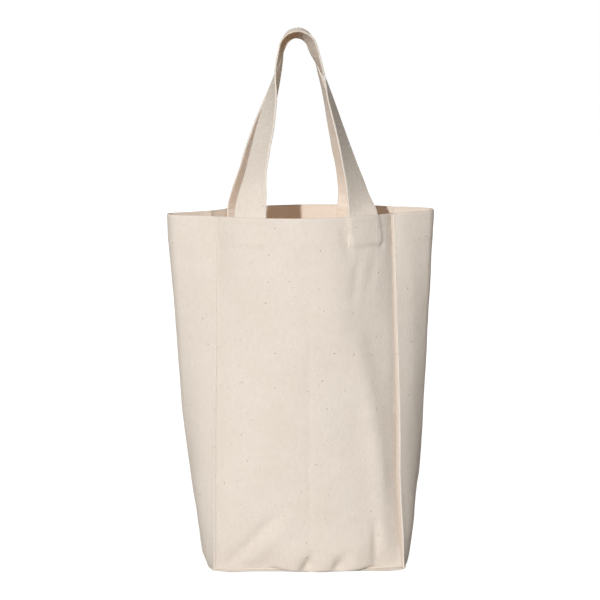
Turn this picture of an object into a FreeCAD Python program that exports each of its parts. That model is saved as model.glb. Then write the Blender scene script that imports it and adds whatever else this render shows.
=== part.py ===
# A soft carrier for two bottles: a boxed bag of plain canvas with pinched seams along its
# edges, a cloth divider between the bottles and two webbing handles sewn inside the rim.
# Millimetres, +Z up, front towards -Y, origin at the middle of the underside of the base.

import FreeCAD
import Part
import Sketcher
import math
import os

from FreeCAD import Placement, Rotation, Vector

# Driving dimensions, in millimetres where they are lengths.
DRIVING = {
    "base_width": 174.0,  # cloth width of the front and back panels
    "base_depth": 105.0,  # cloth width of the side gussets
    "body_height": 330.0,  # rim above the table
    "mouth_bow": 31.2,  # how far the front bellies out between its corners at the rim
    "mouth_corner_depth": 54.0,  # front corner to back corner at the rim
    "crease_radius": 8.0,  # soft fold down the middle of each gusset
    "foot_share": 0.12,  # share of the rim's flare that is already there at the base
    "canvas": 0.8,  # thickness of one layer of cloth
    "seam_gap": 0.2,  # clearance between layers that are sewn together
    "hem_depth": 26.0,  # turned-in layer below the rim
    "welt_width": 3.0,  # how far a pinched seam stands out
    "welt_thickness": 1.6,  # two layers of cloth pinched together
    "lip_gap": 0.6,  # clearance between the foot of a wall and the seam along the base
    "strap_width": 32.0,
    "strap_thickness": 2.4,
    "strap_spacing": 110.0,  # between the middles of a handle's two ends, along the cloth
    "strap_sewn_length": 28.0,  # stretch of each end that is sewn below the rim
    "handle_rise": 165.0,  # top of a handle above the rim
    "handle_gap": 0.5,  # clearance between a handle and the rim
    "handle_lean": 18.0,  # how far the top of a handle leans in, towards the other one
    "arch_radius": 13.0,  # bend at the top of a handle
    "divider_bottom": 40.0,
    "divider_top": 255.0,
}

# Sizes that follow from the driving ones.
DERIVED = {
    "wall_foot": "canvas + seam_gap",
    "mouth_bulge": "sqrt((base_depth / 2)^2 - (mouth_corner_depth / 2)^2)",
    "hem_share": "sqrt(1 - (1 - foot_share^2) * hem_depth / (body_height - wall_foot))",
    "hem_outer": "canvas + seam_gap",
    "hem_inner": "2 * canvas + seam_gap",
    "strap_outer": "2 * canvas + 2 * seam_gap",
    "strap_middle": "strap_outer + strap_thickness / 2",
    "strap_inner": "strap_outer + strap_thickness",
    "strap_foot": "body_height + handle_gap",
}

# Level sections of the bag. Each formula uses the ones before it: the cloth keeps its width,
# so a panel that bellies out draws its corners in, and so does a gusset that bulges.
SECTION_FORMULAS = {
    "share": "sqrt(sizes.foot_share^2 + (1 - sizes.foot_share^2)"
             " * ({height} - sizes.wall_foot) / (sizes.body_height - sizes.wall_foot))",
    "bow": "sizes.mouth_bow * {share}",
    "half": "(sizes.base_width + sqrt(sizes.base_width^2 - 32 / 3 * {bow}^2)) / 4",
    "bulge": "sizes.mouth_bulge * {share}",
    "corner": "sqrt((sizes.base_depth / 2)^2 - {bulge}^2)",
    "radius": "({half}^2 + {bow}^2) / (2 * {bow})",
    "lean": "asin({half} / {radius})",
    "side": "atan2({corner}; {bulge} - sizes.crease_radius)"
            " - asin(sizes.crease_radius / sqrt(({bulge} - sizes.crease_radius)^2 + {corner}^2))",
    "out_x": "sin(({lean} + {side}) / 2)",
    "out_y": "cos(({lean} + {side}) / 2)",
    "mitre": "1 / cos(({side} - {lean}) / 2)",
}

WALL_STATIONS = 12
HEM_STATIONS = 3
DIVIDER_STATIONS = 5
LEG_STATIONS = 9
ARCH_STATIONS = 7
LEG_LEAD = 0.23  # share of a leg in which it comes up straight from the rim
LEG_EASE = 0.36  # share of a leg that runs straight into the arch
LEAN_BEND = 0.9  # 0 for a handle that leans evenly, 1 for one that stands upright at its top
TWIST_POWER = 1.12  # how early a handle turns edge-on: above 1 it turns most near the rim
OVER_TWIST = 0.15  # radians past edge-on at the top, where the outer edge flares a little

doc = FreeCAD.newDocument("bottle_carrier")
sizes = doc.addObject("Spreadsheet::Sheet", "sizes")
sections = doc.addObject("Spreadsheet::Sheet", "sections")
subparts = []


def fill_sizes():
    row = 1
    for name, number in DRIVING.items():
        sizes.set(f"A{row}", name)
        sizes.set(f"B{row}", str(number))
        sizes.setAlias(f"B{row}", name)
        row += 1
    for name, formula in DERIVED.items():
        sizes.set(f"A{row}", name)
        sizes.set(f"B{row}", "=" + formula)
        sizes.setAlias(f"B{row}", name)
        row += 1
    doc.recompute()


def fill_section(row, station, height):
    """One row of the section sheet: the outline of the bag at one height."""
    names = {"height": f"{station}_height"}
    formulas = {"height": height}
    for quantity, formula in SECTION_FORMULAS.items():
        formulas[quantity] = formula.format(**names)
        names[quantity] = f"{station}_{quantity}"
    sections.set(f"A{row}", station)
    for column, quantity in enumerate(formulas):
        cell = f"{chr(ord('B') + column)}{row}"
        sections.setAlias(cell, names[quantity])
        sections.set(cell, "=" + formulas[quantity])


def fill_sections():
    """Stations up the walls, the hem, the sewn ends of the straps and the divider."""
    rise = "(sizes.body_height - sizes.wall_foot)"
    heights = {}
    for index in range(WALL_STATIONS):
        share = f"(sizes.foot_share + (sizes.hem_share - sizes.foot_share) * {index} / {WALL_STATIONS})"
        climb = f"({share}^2 - sizes.foot_share^2) / (1 - sizes.foot_share^2)"
        heights[f"wall{index}"] = f"sizes.wall_foot + {rise} * {climb}"
    for index in range(HEM_STATIONS):
        below = f"{HEM_STATIONS - 1 - index} / {HEM_STATIONS - 1}"
        heights[f"hem{index}"] = f"sizes.body_height - sizes.hem_depth * {below}"
        heights[f"sewn{index}"] = f"sizes.body_height - sizes.strap_sewn_length * {below}"
    for index in range(DIVIDER_STATIONS):
        climb = f"(sizes.divider_top - sizes.divider_bottom) * {index} / {DIVIDER_STATIONS - 1}"
        heights[f"divider{index}"] = f"sizes.divider_bottom + {climb}"
    for row, (station, height) in enumerate(heights.items(), start=1):
        fill_section(row, station, height)
    doc.recompute()


def stations(kind, count):
    return [f"{kind}{index}" for index in range(count)]


def wall_stations():
    """Stations of a whole wall: up to the hem, and then those of the hem itself."""
    return stations("wall", WALL_STATIONS) + stations("hem", HEM_STATIONS)


def number(expression):
    """Value of an expression over the two sheets."""
    result = sections.evalExpression(expression)
    return float(getattr(result, "Value", result))


def new_body(label, turn=0.0):
    body = doc.addObject("PartDesign::Body", label)
    body.Label = label
    body.Placement = Placement(Vector(), Rotation(Vector(0, 0, 1), turn))
    subparts.append(body)
    return body


def new_sketch(body, name):
    sketch = body.newObject("Sketcher::SketchObject", name)
    ground = [plane for plane in body.Origin.OriginFeatures if plane.Role == "XY_Plane"][0]
    sketch.AttachmentSupport = [(ground, "")]
    sketch.MapMode = "FlatFace"
    return sketch


def level_sketch(body, name, height):
    """A sketch that lies level at the height that an expression gives."""
    sketch = new_sketch(body, name)
    sketch.AttachmentOffset = Placement(Vector(0, 0, number(height)), Rotation())
    sketch.setExpression("AttachmentOffset.Base.z", height)
    return sketch


def place_point(sketch, geometry, end, name, x, y):
    """Holds one end of a line or an arc at the place that two expressions give."""
    for axis, expression in (("X", x), ("Y", y)):
        constraint = Sketcher.Constraint("Distance" + axis, -1, 1, geometry, end, number(expression))
        index = sketch.addConstraint(constraint)
        label = f"{name}_{axis.lower()}"
        sketch.renameConstraint(index, label)
        sketch.setExpression("Constraints." + label, expression)


def set_radius(sketch, geometry, name, radius):
    index = sketch.addConstraint(Sketcher.Constraint("Radius", geometry, number(radius)))
    sketch.renameConstraint(index, name)
    sketch.setExpression("Constraints." + name, radius)


def join(sketch, *pairs):
    for first, first_end, second, second_end in pairs:
        sketch.addConstraint(Sketcher.Constraint("Coincident", first, first_end, second, second_end))


def level(points):
    """Points of x and y expressions as vectors in the plane of a sketch."""
    return [Vector(number(x), number(y), 0) for x, y in points]


def panel_edge(station, depth, trim):
    """Right end, crown and radius of a panel's arc, depth below its outer face."""
    cell = f"sections.{station}_"
    x = f"{cell}half - ({depth}) * {cell}mitre * {cell}out_x - ({trim}) * cos({cell}lean)"
    y = f"{cell}corner - ({depth}) * {cell}mitre * {cell}out_y + ({trim}) * sin({cell}lean)"
    crown = f"{cell}corner + {cell}bow - ({depth})"
    sag = f"({crown} - ({y}))"
    return x, y, crown, f"(({x})^2 + {sag}^2) / (2 * {sag})"


def panel_section(sketch, station, outer, inner, trim):
    """Curved strip of a front or back panel, which faces +Y, between two depths."""
    ends = []
    for geometry, depth in ((0, outer), (1, inner)):
        x, y, crown, radius = panel_edge(station, depth, trim)
        right, top, left = level([(x, y), ("0", crown), (f"-({x})", y)])
        sketch.addGeometry(Part.Arc(right, top, left), False)
        ends.append((right, left, x, y, radius))
    sketch.addGeometry(Part.LineSegment(ends[0][1], ends[1][1]), False)
    sketch.addGeometry(Part.LineSegment(ends[1][0], ends[0][0]), False)
    join(sketch, (0, 2, 2, 1), (2, 2, 1, 2), (1, 1, 3, 1), (3, 2, 0, 1))
    for geometry, name in ((0, "outer"), (1, "inner")):
        sketch.addConstraint(Sketcher.Constraint("Symmetric", geometry, 1, geometry, 2, -2))
        right, left, x, y, radius = ends[geometry]
        place_point(sketch, geometry, 1, name, x, y)
        set_radius(sketch, geometry, name + "_radius", radius)


def gusset_edge(station, depth, trim):
    """Corner end, tangent point and fold radius of a gusset's outline at a depth."""
    cell = f"sections.{station}_"
    x = f"{cell}half - ({depth}) * {cell}mitre * {cell}out_x + ({trim}) * cos({cell}side)"
    y = f"{cell}corner - ({depth}) * {cell}mitre * {cell}out_y - ({trim}) * sin({cell}side)"
    radius = f"(sizes.crease_radius - ({depth}))"
    fold_x = f"{cell}half + {cell}bulge - sizes.crease_radius + {radius} * sin({cell}side)"
    fold_y = f"{radius} * cos({cell}side)"
    return x, y, fold_x, fold_y, radius


def gusset_outline(sketch, first, edge, name):
    """Line, fold and line of a gusset, which faces +X, as three pieces of geometry."""
    x, y, fold_x, fold_y, radius = edge
    middle = f"{fold_x} + {radius} * (1 - sin(acos(({fold_y}) / {radius})))"
    tip, fold, crease, low_fold, low_tip = level([
        (x, y), (fold_x, fold_y), (middle, "0"), (fold_x, f"-({fold_y})"), (x, f"-({y})")])
    sketch.addGeometry(Part.LineSegment(tip, fold), False)
    sketch.addGeometry(Part.Arc(low_fold, crease, fold), False)
    sketch.addGeometry(Part.LineSegment(low_fold, low_tip), False)
    join(sketch, (first, 2, first + 1, 2), (first + 1, 1, first + 2, 1))
    sketch.addConstraint(Sketcher.Constraint("Symmetric", first, 1, first + 2, 2, -1))
    sketch.addConstraint(Sketcher.Constraint("Symmetric", first + 1, 1, first + 1, 2, -1))
    place_point(sketch, first, 1, name, x, y)
    place_point(sketch, first, 2, name + "_fold", fold_x, fold_y)
    set_radius(sketch, first + 1, name + "_radius", radius)
    return tip, low_tip


def gusset_section(sketch, station, outer, inner, trim):
    """Folded strip of a side gusset between two depths."""
    tip, low_tip = gusset_outline(sketch, 0, gusset_edge(station, outer, trim), "outer")
    inner_tip, inner_low = gusset_outline(sketch, 3, gusset_edge(station, inner, trim), "inner")
    sketch.addGeometry(Part.LineSegment(tip, inner_tip), False)
    sketch.addGeometry(Part.LineSegment(low_tip, inner_low), False)
    join(sketch, (6, 1, 0, 1), (6, 2, 3, 1), (7, 1, 2, 2), (7, 2, 5, 2))


def polygon_section(sketch, points):
    """Closed outline of straight lines through points of x and y expressions."""
    corners = level(points)
    count = len(corners)
    for index in range(count):
        sketch.addGeometry(Part.LineSegment(corners[index], corners[(index + 1) % count]), False)
    for index in range(count):
        join(sketch, (index, 2, (index + 1) % count, 1))
        place_point(sketch, index, 1, f"corner{index}", *points[index])


def loft(body, profiles):
    """Ruled skin through the sections of a body."""
    skin = body.newObject("PartDesign::AdditiveLoft", body.Label + "_skin")
    skin.Profile = profiles[0]
    skin.Sections = profiles[1:]
    skin.Ruled = True


def pad(body, sketch, length):
    layer = body.newObject("PartDesign::Pad", body.Label + "_layer")
    layer.Profile = sketch
    layer.setExpression("Length", length)


def make_cloth(label, turn, section, rows, outer, inner):
    """A panel, a gusset or one of their hems, lofted up its stations."""
    body = new_body(label, turn)
    profiles = []
    for station in rows:
        sketch = level_sketch(body, f"{label}_{station}", f"sections.{station}_height")
        section(sketch, station, outer, inner, "sizes.seam_gap / 2")
        profiles.append(sketch)
    loft(body, profiles)


def make_walls():
    rows = wall_stations()
    make_cloth("front_panel", 180, panel_section, rows, "0", "sizes.canvas")
    make_cloth("back_panel", 0, panel_section, rows, "0", "sizes.canvas")
    make_cloth("left_gusset", 180, gusset_section, rows, "0", "sizes.canvas")
    make_cloth("right_gusset", 0, gusset_section, rows, "0", "sizes.canvas")


def make_hems():
    rows = stations("hem", HEM_STATIONS)
    depths = ("sizes.hem_outer", "sizes.hem_inner")
    make_cloth("front_hem", 180, panel_section, rows, *depths)
    make_cloth("back_hem", 0, panel_section, rows, *depths)
    make_cloth("left_hem", 180, gusset_section, rows, *depths)
    make_cloth("right_hem", 0, gusset_section, rows, *depths)


def make_corner_seam(label, side, face):
    """Pinched seam that stands out along an upright corner; side and face are signs."""
    body = new_body(label)
    profiles = []
    for station in wall_stations():
        cell = f"sections.{station}_"
        points = []
        for reach, across in ((0, -1), (1, -1), (1, 1), (0, 1)):
            out = f"(sizes.seam_gap * 2 + {reach} * sizes.welt_width)"
            along = f"({across} * sizes.welt_thickness / 2)"
            x = f"{side} * ({cell}half + {out} * {cell}out_x + {along} * {cell}out_y)"
            y = f"{face} * ({cell}corner + {out} * {cell}out_y - {along} * {cell}out_x)"
            points.append((x, y))
        sketch = level_sketch(body, f"{label}_{station}", f"{cell}height")
        polygon_section(sketch, points)
        profiles.append(sketch)
    loft(body, profiles)


def make_corner_seams():
    for face_name, face in (("front", -1), ("back", 1)):
        for side_name, side in (("left", -1), ("right", 1)):
            make_corner_seam(f"{face_name}_{side_name}_corner_seam", side, face)


def make_base():
    """Flat panel whose edges reach out under the seam that joins it to the walls."""
    body = new_body("base_panel")
    sketch = level_sketch(body, "base_outline", "0")
    reach = "-sizes.welt_width"
    arcs = []
    for face in (1, -1):
        x, y, crown, radius = panel_edge("wall0", reach, "0")
        right, top, left = level([(x, f"{face} * ({y})"), ("0", f"{face} * ({crown})"),
                                  (f"-({x})", f"{face} * ({y})")])
        sketch.addGeometry(Part.Arc(right, top, left), False)
        arcs.append((x, y, radius))
    x, y, radius = arcs[0]
    edge = gusset_edge("wall0", reach, "0")
    gusset_outline(sketch, 2, edge, "right")
    tip, fold, crease, low_fold, low_tip = level([
        (f"-({edge[0]})", edge[1]), (f"-({edge[2]})", edge[3]),
        (f"-({edge[2]} + {edge[4]} * (1 - sin(acos(({edge[3]}) / {edge[4]}))))", "0"),
        (f"-({edge[2]})", f"-({edge[3]})"), (f"-({edge[0]})", f"-({edge[1]})")])
    sketch.addGeometry(Part.LineSegment(tip, fold), False)
    sketch.addGeometry(Part.Arc(fold, crease, low_fold), False)
    sketch.addGeometry(Part.LineSegment(low_fold, low_tip), False)
    join(sketch, (5, 2, 6, 1), (6, 2, 7, 1))
    for right_end, left_end in (((2, 2), (5, 2)), ((3, 1), (6, 2))):
        sketch.addConstraint(Sketcher.Constraint("Symmetric", *right_end, *left_end, -2))
    set_radius(sketch, 6, "left_radius", edge[4])
    join(sketch, (0, 1, 2, 1), (0, 2, 5, 1), (1, 2, 4, 2), (1, 1, 7, 2))
    sketch.addConstraint(Sketcher.Constraint("Symmetric", 0, 1, 0, 2, -2))
    sketch.addConstraint(Sketcher.Constraint("Symmetric", 1, 1, 1, 2, -2))
    set_radius(sketch, 0, "back_radius", radius)
    set_radius(sketch, 1, "front_radius", radius)
    pad(body, sketch, "sizes.canvas")


def make_base_seams():
    """Edges of the walls, turned out flat over the base panel and stitched to it."""
    plans = (("front_base_seam", 180, panel_section), ("back_base_seam", 0, panel_section),
             ("left_base_seam", 180, gusset_section), ("right_base_seam", 0, gusset_section))
    for label, turn, section in plans:
        body = new_body(label, turn)
        sketch = level_sketch(body, label + "_outline", "sizes.wall_foot")
        section(sketch, "wall0", "-sizes.welt_width", "-sizes.lip_gap", "sizes.welt_width")
        pad(body, sketch, "sizes.canvas")


def make_divider():
    body = new_body("bottle_divider")
    profiles = []
    for station in stations("divider", DIVIDER_STATIONS):
        cell = f"sections.{station}_"
        x = "sizes.canvas / 2"
        y = f"({cell}corner + {cell}bow - sizes.canvas - sizes.seam_gap * 2)"
        sketch = level_sketch(body, f"divider_{station}", f"{cell}height")
        polygon_section(sketch, [(f"-{x}", f"-{y}"), (x, f"-{y}"), (x, y), (f"-{x}", y)])
        profiles.append(sketch)
    loft(body, profiles)


def strap_place(station, depth, across):
    """Point of a sewn strap end: depth below the panel's face, across from its middle."""
    cell = f"sections.{station}_"
    turn = f"((sizes.strap_spacing / 2 + {across} * sizes.strap_width) / {cell}radius * 1 rad)"
    reach = f"({cell}radius - {depth})"
    x = f"{reach} * sin({turn})"
    y = f"({cell}corner + {cell}bow - {cell}radius + {reach} * cos({turn}))"
    return x, y


def make_strap_end(label, side, face):
    """Last stretch of a strap, sewn flat on the inside of the hem."""
    body = new_body(label)
    profiles = []
    for station in stations("sewn", HEM_STATIONS):
        edges = []
        for depth in ("sizes.strap_outer", "sizes.strap_inner"):
            for across in (-0.5, 0, 0.5):
                x, y = strap_place(station, depth, across)
                edges.append((f"{side} * {x}", f"{face} * {y}"))
        sketch = level_sketch(body, f"{label}_{station}", f"sections.{station}_height")
        strap_end_section(sketch, station, edges, side * face)
        profiles.append(sketch)
    loft(body, profiles)


def strap_end_section(sketch, station, edges, handed):
    """Curved strip between two arcs; the ends of an arc swap with the hand of the corner."""
    first, last = (2, 1) if handed > 0 else (1, 2)
    corners = level(edges)
    for start in (0, 3):
        sketch.addGeometry(Part.Arc(*corners[start:start + 3]), False)
    sketch.addGeometry(Part.LineSegment(corners[0], corners[3]), False)
    sketch.addGeometry(Part.LineSegment(corners[2], corners[5]), False)
    join(sketch, (2, 1, 0, first), (2, 2, 1, first), (3, 1, 0, last), (3, 2, 1, last))
    for geometry, name, depth in ((0, "outer", "sizes.strap_outer"),
                                  (1, "inner", "sizes.strap_inner")):
        place_point(sketch, geometry, first, name + "_near", *edges[3 * geometry])
        place_point(sketch, geometry, last, name + "_far", *edges[3 * geometry + 2])
        set_radius(sketch, geometry, name + "_radius", f"sections.{station}_radius - {depth}")


def make_strap_ends():
    for face_name, face in (("front", -1), ("back", 1)):
        for side_name, side in (("left", -1), ("right", 1)):
            make_strap_end(f"{face_name}_{side_name}_strap_end", side, face)


def leg_points(foot, arch, tilt):
    """Places up one leg of a handle, seen from the front, each with the direction that it faces.

    A cubic curve that leaves the rim straight up and runs into the arch at its tilt.
    """
    run = math.hypot(arch[0] - foot[0], arch[1] - foot[1])
    climb = (foot[0], foot[1] + LEG_LEAD * run)
    ease = LEG_EASE * run
    close = (arch[0] + ease * math.sin(tilt), arch[1] - ease * math.cos(tilt))
    knots = (foot, climb, close, arch)
    points = []
    for index in range(1, LEG_STATIONS + 1):
        far = index / (LEG_STATIONS + 1)
        near = 1 - far
        weights = (near**3, 3 * near**2 * far, 3 * near * far**2, far**3)
        slopes = (-near**2, near**2 - 2 * near * far, 2 * near * far - far**2, far**2)
        x, height = (sum(weight * knot[axis] for weight, knot in zip(weights, knots))
                     for axis in (0, 1))
        run_x, run_up = (sum(slope * knot[axis] for slope, knot in zip(slopes, knots))
                         for axis in (0, 1))
        points.append((x, height, math.atan2(-run_x, run_up)))
    return points


def handle_frames():
    """Places along a handle that faces +Y: from the right foot over the arch to the left one.

    Each is a centre, the direction across the strap and the direction along it. The strap
    turns edge-on on its way up and leans in, towards the other handle.
    """
    rim = f"sewn{HEM_STATIONS - 1}"
    foot_x, foot_y = (number(place) for place in strap_place(rim, "sizes.strap_middle", 0))
    foot_turn = math.radians(number(f"sizes.strap_spacing / 2 / sections.{rim}_radius * 1 rad"))
    foot_z = number("sizes.strap_foot")
    rise = number("sizes.body_height + sizes.handle_rise - sizes.strap_thickness / 2") - foot_z
    lean_in = number("sizes.handle_lean")

    radius = number("sizes.arch_radius")
    centre = rise - radius
    tilt = math.atan2(foot_x, centre) - math.asin(radius / math.hypot(foot_x, centre))
    arch = []
    for index in range(ARCH_STATIONS):
        angle = tilt + (math.pi - 2 * tilt) * index / (ARCH_STATIONS - 1)
        arch.append((radius * math.cos(angle), centre + radius * math.sin(angle), angle))
    right = leg_points((foot_x, 0), arch[0][:2], tilt)
    left = [(-x, height, math.pi - angle) for x, height, angle in reversed(right)]

    frames = []
    full_turn = math.pi / 2 + OVER_TWIST
    for x, height, angle in right + arch + left:
        share = height / rise
        lean = math.atan(lean_in / rise * (1 + LEAN_BEND * (1 - 2 * share)))
        up = Vector(0, -math.sin(lean), math.cos(lean))
        across = Vector(0, math.cos(lean), math.sin(lean))
        outward = Vector(math.cos(angle), 0, 0) + up * math.sin(angle)
        forward = Vector(-math.sin(angle), 0, 0) + up * math.cos(angle)
        turn = full_turn - (full_turn - foot_turn) * (1 - share)**TWIST_POWER
        wide = outward * math.cos(turn) - across * math.sin(turn)
        inward = lean_in * share * (1 + LEAN_BEND * (1 - share))
        frames.append((Vector(x, foot_y - inward, foot_z + height), wide, forward))
    for side, end, forward in ((1, 0, 1), (-1, len(frames), -1)):
        wide = Vector(side * math.cos(foot_turn), -math.sin(foot_turn), 0)
        frames.insert(end, (Vector(side * foot_x, foot_y, foot_z), wide, Vector(0, 0, forward)))
    return frames


def make_handle(label, turn):
    """A loop of webbing from just above the rim, twisted to lie flat in the hand."""
    body = new_body(label, turn)
    profiles = []
    for index, (centre, wide, forward) in enumerate(handle_frames()):
        sketch = new_sketch(body, f"{label}_{index}")
        sketch.AttachmentOffset = Placement(centre, Rotation(wide, Vector(), forward, "ZXY"))
        x = "sizes.strap_width / 2"
        y = "sizes.strap_thickness / 2"
        polygon_section(sketch, [(f"-{x}", f"-{y}"), (x, f"-{y}"), (x, y), (f"-{x}", y)])
        profiles.append(sketch)
    loft(body, profiles)


def check_document():
    doc.recompute()
    for item in doc.Objects:
        if "Invalid" in item.State or "Error" in item.State:
            raise RuntimeError(f"{item.Label} did not build: {item.State}")
    for body in subparts:
        if body.Shape.isNull() or not body.Shape.isValid() or not body.Shape.Solids:
            raise RuntimeError(f"{body.Label} has no sound solid")


def export_parts():
    os.makedirs("parts", exist_ok=True)
    for body in subparts:
        body.Shape.exportStep(f"parts/{body.Label}.step")
        box = body.Shape.BoundBox
        print(f"{body.Label}: {body.Shape.Volume:.0f} mm3, z {box.ZMin:.1f} to {box.ZMax:.1f}")


fill_sizes()
fill_sections()
make_walls()
make_hems()
make_corner_seams()
make_base()
make_base_seams()
make_divider()
make_strap_ends()
make_handle("front_handle_strap", 180)
make_handle("back_handle_strap", 0)
check_document()
export_parts()
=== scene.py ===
import math

import bpy
import numpy as np
from mathutils import Matrix, Vector, noise


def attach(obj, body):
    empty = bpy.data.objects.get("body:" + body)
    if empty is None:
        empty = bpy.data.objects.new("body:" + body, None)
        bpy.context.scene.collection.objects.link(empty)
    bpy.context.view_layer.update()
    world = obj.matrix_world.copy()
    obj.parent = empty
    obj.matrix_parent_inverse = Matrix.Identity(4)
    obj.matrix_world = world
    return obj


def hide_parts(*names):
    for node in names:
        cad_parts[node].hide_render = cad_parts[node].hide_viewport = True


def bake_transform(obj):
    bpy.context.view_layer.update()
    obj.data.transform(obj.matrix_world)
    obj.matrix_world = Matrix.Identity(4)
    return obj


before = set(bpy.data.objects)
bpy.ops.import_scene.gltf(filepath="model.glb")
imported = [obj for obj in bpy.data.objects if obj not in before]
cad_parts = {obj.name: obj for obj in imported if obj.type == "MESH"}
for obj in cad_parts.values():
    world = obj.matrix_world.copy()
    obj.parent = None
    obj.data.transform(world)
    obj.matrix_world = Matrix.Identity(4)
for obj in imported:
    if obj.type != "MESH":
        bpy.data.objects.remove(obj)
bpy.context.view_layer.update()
print("frame loaded:", len(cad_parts), "nodes")

# The bag's own sizes, in metres. Its level sections follow from them.
bag = {
    "baseWidth": 0.174,
    "baseDepth": 0.105,
    "height": 0.330,
    "mouthBow": 0.0312,
    "mouthCornerDepth": 0.054,
    "footShare": 0.12,  # what is left of the bow and the bulge at the foot
    "foot": 0.001,
    "wallStart": 0.0034,  # where a wall begins above its lip
    "canvas": 0.0008,  # thickness of the cloth
}
clothWidth = {"panel": bag["baseWidth"], "gusset": bag["baseDepth"]}

# Rows and columns of the walls: the rows lie closer together below the first height and above the second.
clothGrid = {
    "columns": {"panel": 97, "gusset": 63},
    "heights": (0.030, 0.296),
    "lowStep": 0.0014,
    "middleStep": 0.0030,
    "hemRows": 20,
}

# How the cloth hangs away from an even shape: heights, and how far each gusset bulges more there.
hang = {
    "heights": (0.0, 0.006, 0.0145, 0.023, 0.033, 0.05, 0.10, 0.145, 0.185, 0.22, 0.30, 0.33),
    "left": (-0.0008, -0.0008, -0.0010, -0.0024, -0.0034, -0.0031,
             -0.0018, 0.0001, -0.0004, -0.001, 0.0013, 0.001),
    "right": (0.0034, 0.0028, 0.0014, 0.0010, 0.0004, -0.0003,
              -0.0010, -0.0014, -0.0018, -0.0022, -0.0008, -0.0006),
    "creaseHeights": (0.0, 0.165, 0.33),
    "creaseRadius": (0.014, 0.019, 0.012),  # how round the fold of a gusset is
    "cornerWander": 0.0005,
    "cornerWave": 14.0,
    "cornerHeights": (0.0, 0.03, 0.06, 0.09, 0.12, 0.18, 0.24, 0.30, 0.33),
    "cornerLean": {  # of each corner to the right
        "frontLeft": (0.0,) * 9,
        "frontRight": (0.0006, 0.0008, 0.0002, 0.0002, 0.0014, 0.0026, 0.0027, 0.0037, 0.0036),
        "backRight": (0.0, 0.0, 0.0, 0.0, 0.0, 0.0020, 0.0058, 0.0100, 0.0120),
        "backLeft": (0.0, 0.0, 0.0, 0.0, 0.0, -0.0010, -0.0030, -0.0054, -0.0064),
    },
    "swellHeights": (0.0, 0.012, 0.04, 0.08, 0.15, 0.22, 0.33),
    "swell": {  # of a gusset between its corner and its fold
        "left": (0.0024, 0.0054, 0.0078, 0.0070, 0.0044, 0.0022, 0.0010),
        "right": (0.0020, 0.0044, 0.0064, 0.0060, 0.0046, 0.0034, 0.0022),
    },
}

# Pinched seams: the ridges up the corners and the lip round the base.
ridge = {
    "halfThick": 0.0005,
    "fillet": 0.0011,
    "filletShare": 0.7,  # of the ridge's height, at most
    "margin": {"panel": 0.0017, "gusset": 0.0054},  # from a corner to where its cloth begins
    "crestColumns": 5,
    "round": {"panel": 90.0, "gusset": 60.0},  # how far each cloth follows the round of the crest
    "flank": {"panel": (0.0, 0.25, 0.5, 0.75),  # steps from the crest into the cloth
              "gusset": (0.14, 0.31, 0.48, 0.66, 0.84)},
    "sharpest": 1.1,  # bend from ridge to cloth, in radians
    "reach": {"frontLeft": (0.0016, 0.0012), "frontRight": (0.0021, 0.0015),  # at the foot and at the rim
              "backRight": (0.0020, 0.0016), "backLeft": (0.0020, 0.0016)},
    "tilt": {"frontLeft": 30.0, "frontRight": 8.0, "backRight": 25.0, "backLeft": 25.0},  # towards the gusset
    "dip": {"frontLeft": 0.0002, "frontRight": 0.0025, "backRight": 0.0005, "backLeft": 0.0005},  # of the panel
    "dipReach": {"frontLeft": 0.0042, "frontRight": 0.0076, "backRight": 0.0042, "backLeft": 0.0042},
    "dipStarts": (bag["wallStart"], 0.0234),  # heights in which the dip sets in and grows less, and by what share
    "dipFades": (0.13, 0.20),
    "dipLoss": 0.4,
    "puff": {"frontLeft": 0.4, "frontRight": 0.8, "backRight": 0.5, "backLeft": 0.5},  # of the gusset
    "puffReach": 0.030,
    "smoothing": 5,  # rounds of evening out where the seam runs into the gusset
    "smoothed": (6, 18),  # columns from the crest
    # painted shade in the valley beside each seam, as a share for each corner
    "crease": {"frontLeft": 0.2, "frontRight": 0.9, "backRight": 0.5, "backLeft": 0.5},
}
lip = {
    "reach": 0.0032,
    "height": 0.0033,
    "fillet": 0.0015,
    "turns": (0.0, 30.0, 60.0, 90.0),  # round its edge
    "steps": (0.0, 0.3, 0.6, 0.85),  # up into the wall
    "cornerShare": 0.4,  # of the reach: at a corner, on a gusset and under the sag
    "gussetShare": 0.25,
    "bellyShare": 0.55,
    "flare": 1.0,  # how much farther it reaches near the right end of the front
    "flareSpan": (0.26, 0.38),
}

# Where the walls are rubbed pale, and where painted shade darkens them at the foot and in the valleys beside the
# ridges, as shares.
rubbing = {"crest": (1.0, 1.0, 0.8, 0.5, 0.25), "lip": 0.8, "lipRows": 3, "rim": 0.3}
shadePainting = {
    # painted shade, darker towards the foot of a panel
    "foot": 0.25,
    "footHeights": (0.006, 0.034),
    "valley": (0.0, 0.2, 0.7, 1.0, 0.9, 0.8, 0.7, 0.58, 0.46, 0.34, 0.22, 0.1),  # painted shade in the columns beside a ridge
    "near": 5,  # columns that get the same painted shade all the way up
    "starts": (0.004, 0.04),  # heights in which the others set in and grow less, and by what share
    "fades": (0.11, 0.19),
    "loss": 0.6,
}

# Places at the foot that don't sit flat on the table: where, how far each is lifted and how far that reaches.
lifted = [
    {"place": (-0.0867, -0.0526), "height": 0.0024, "along": 0.010},
    {"place": (0.0867, -0.0526), "height": 0.0004, "along": 0.010},
    {"place": (0.0867, 0.0526), "height": 0.0022, "along": 0.010},
    {"place": (-0.0867, 0.0526), "height": 0.0030, "along": 0.010},
    {"place": (-0.0480, -0.0590), "height": 0.0024, "along": 0.038},
]
liftReach = 0.016  # upwards

# Places where the rim sinks.
sunken = [
    {"place": (-0.104, 0.045), "drop": 0.0017, "along": 0.034},
    {"place": (-0.0925, 0.046), "drop": 0.0016, "along": 0.0045},
]
sinkReach = 0.060  # downwards

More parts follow.
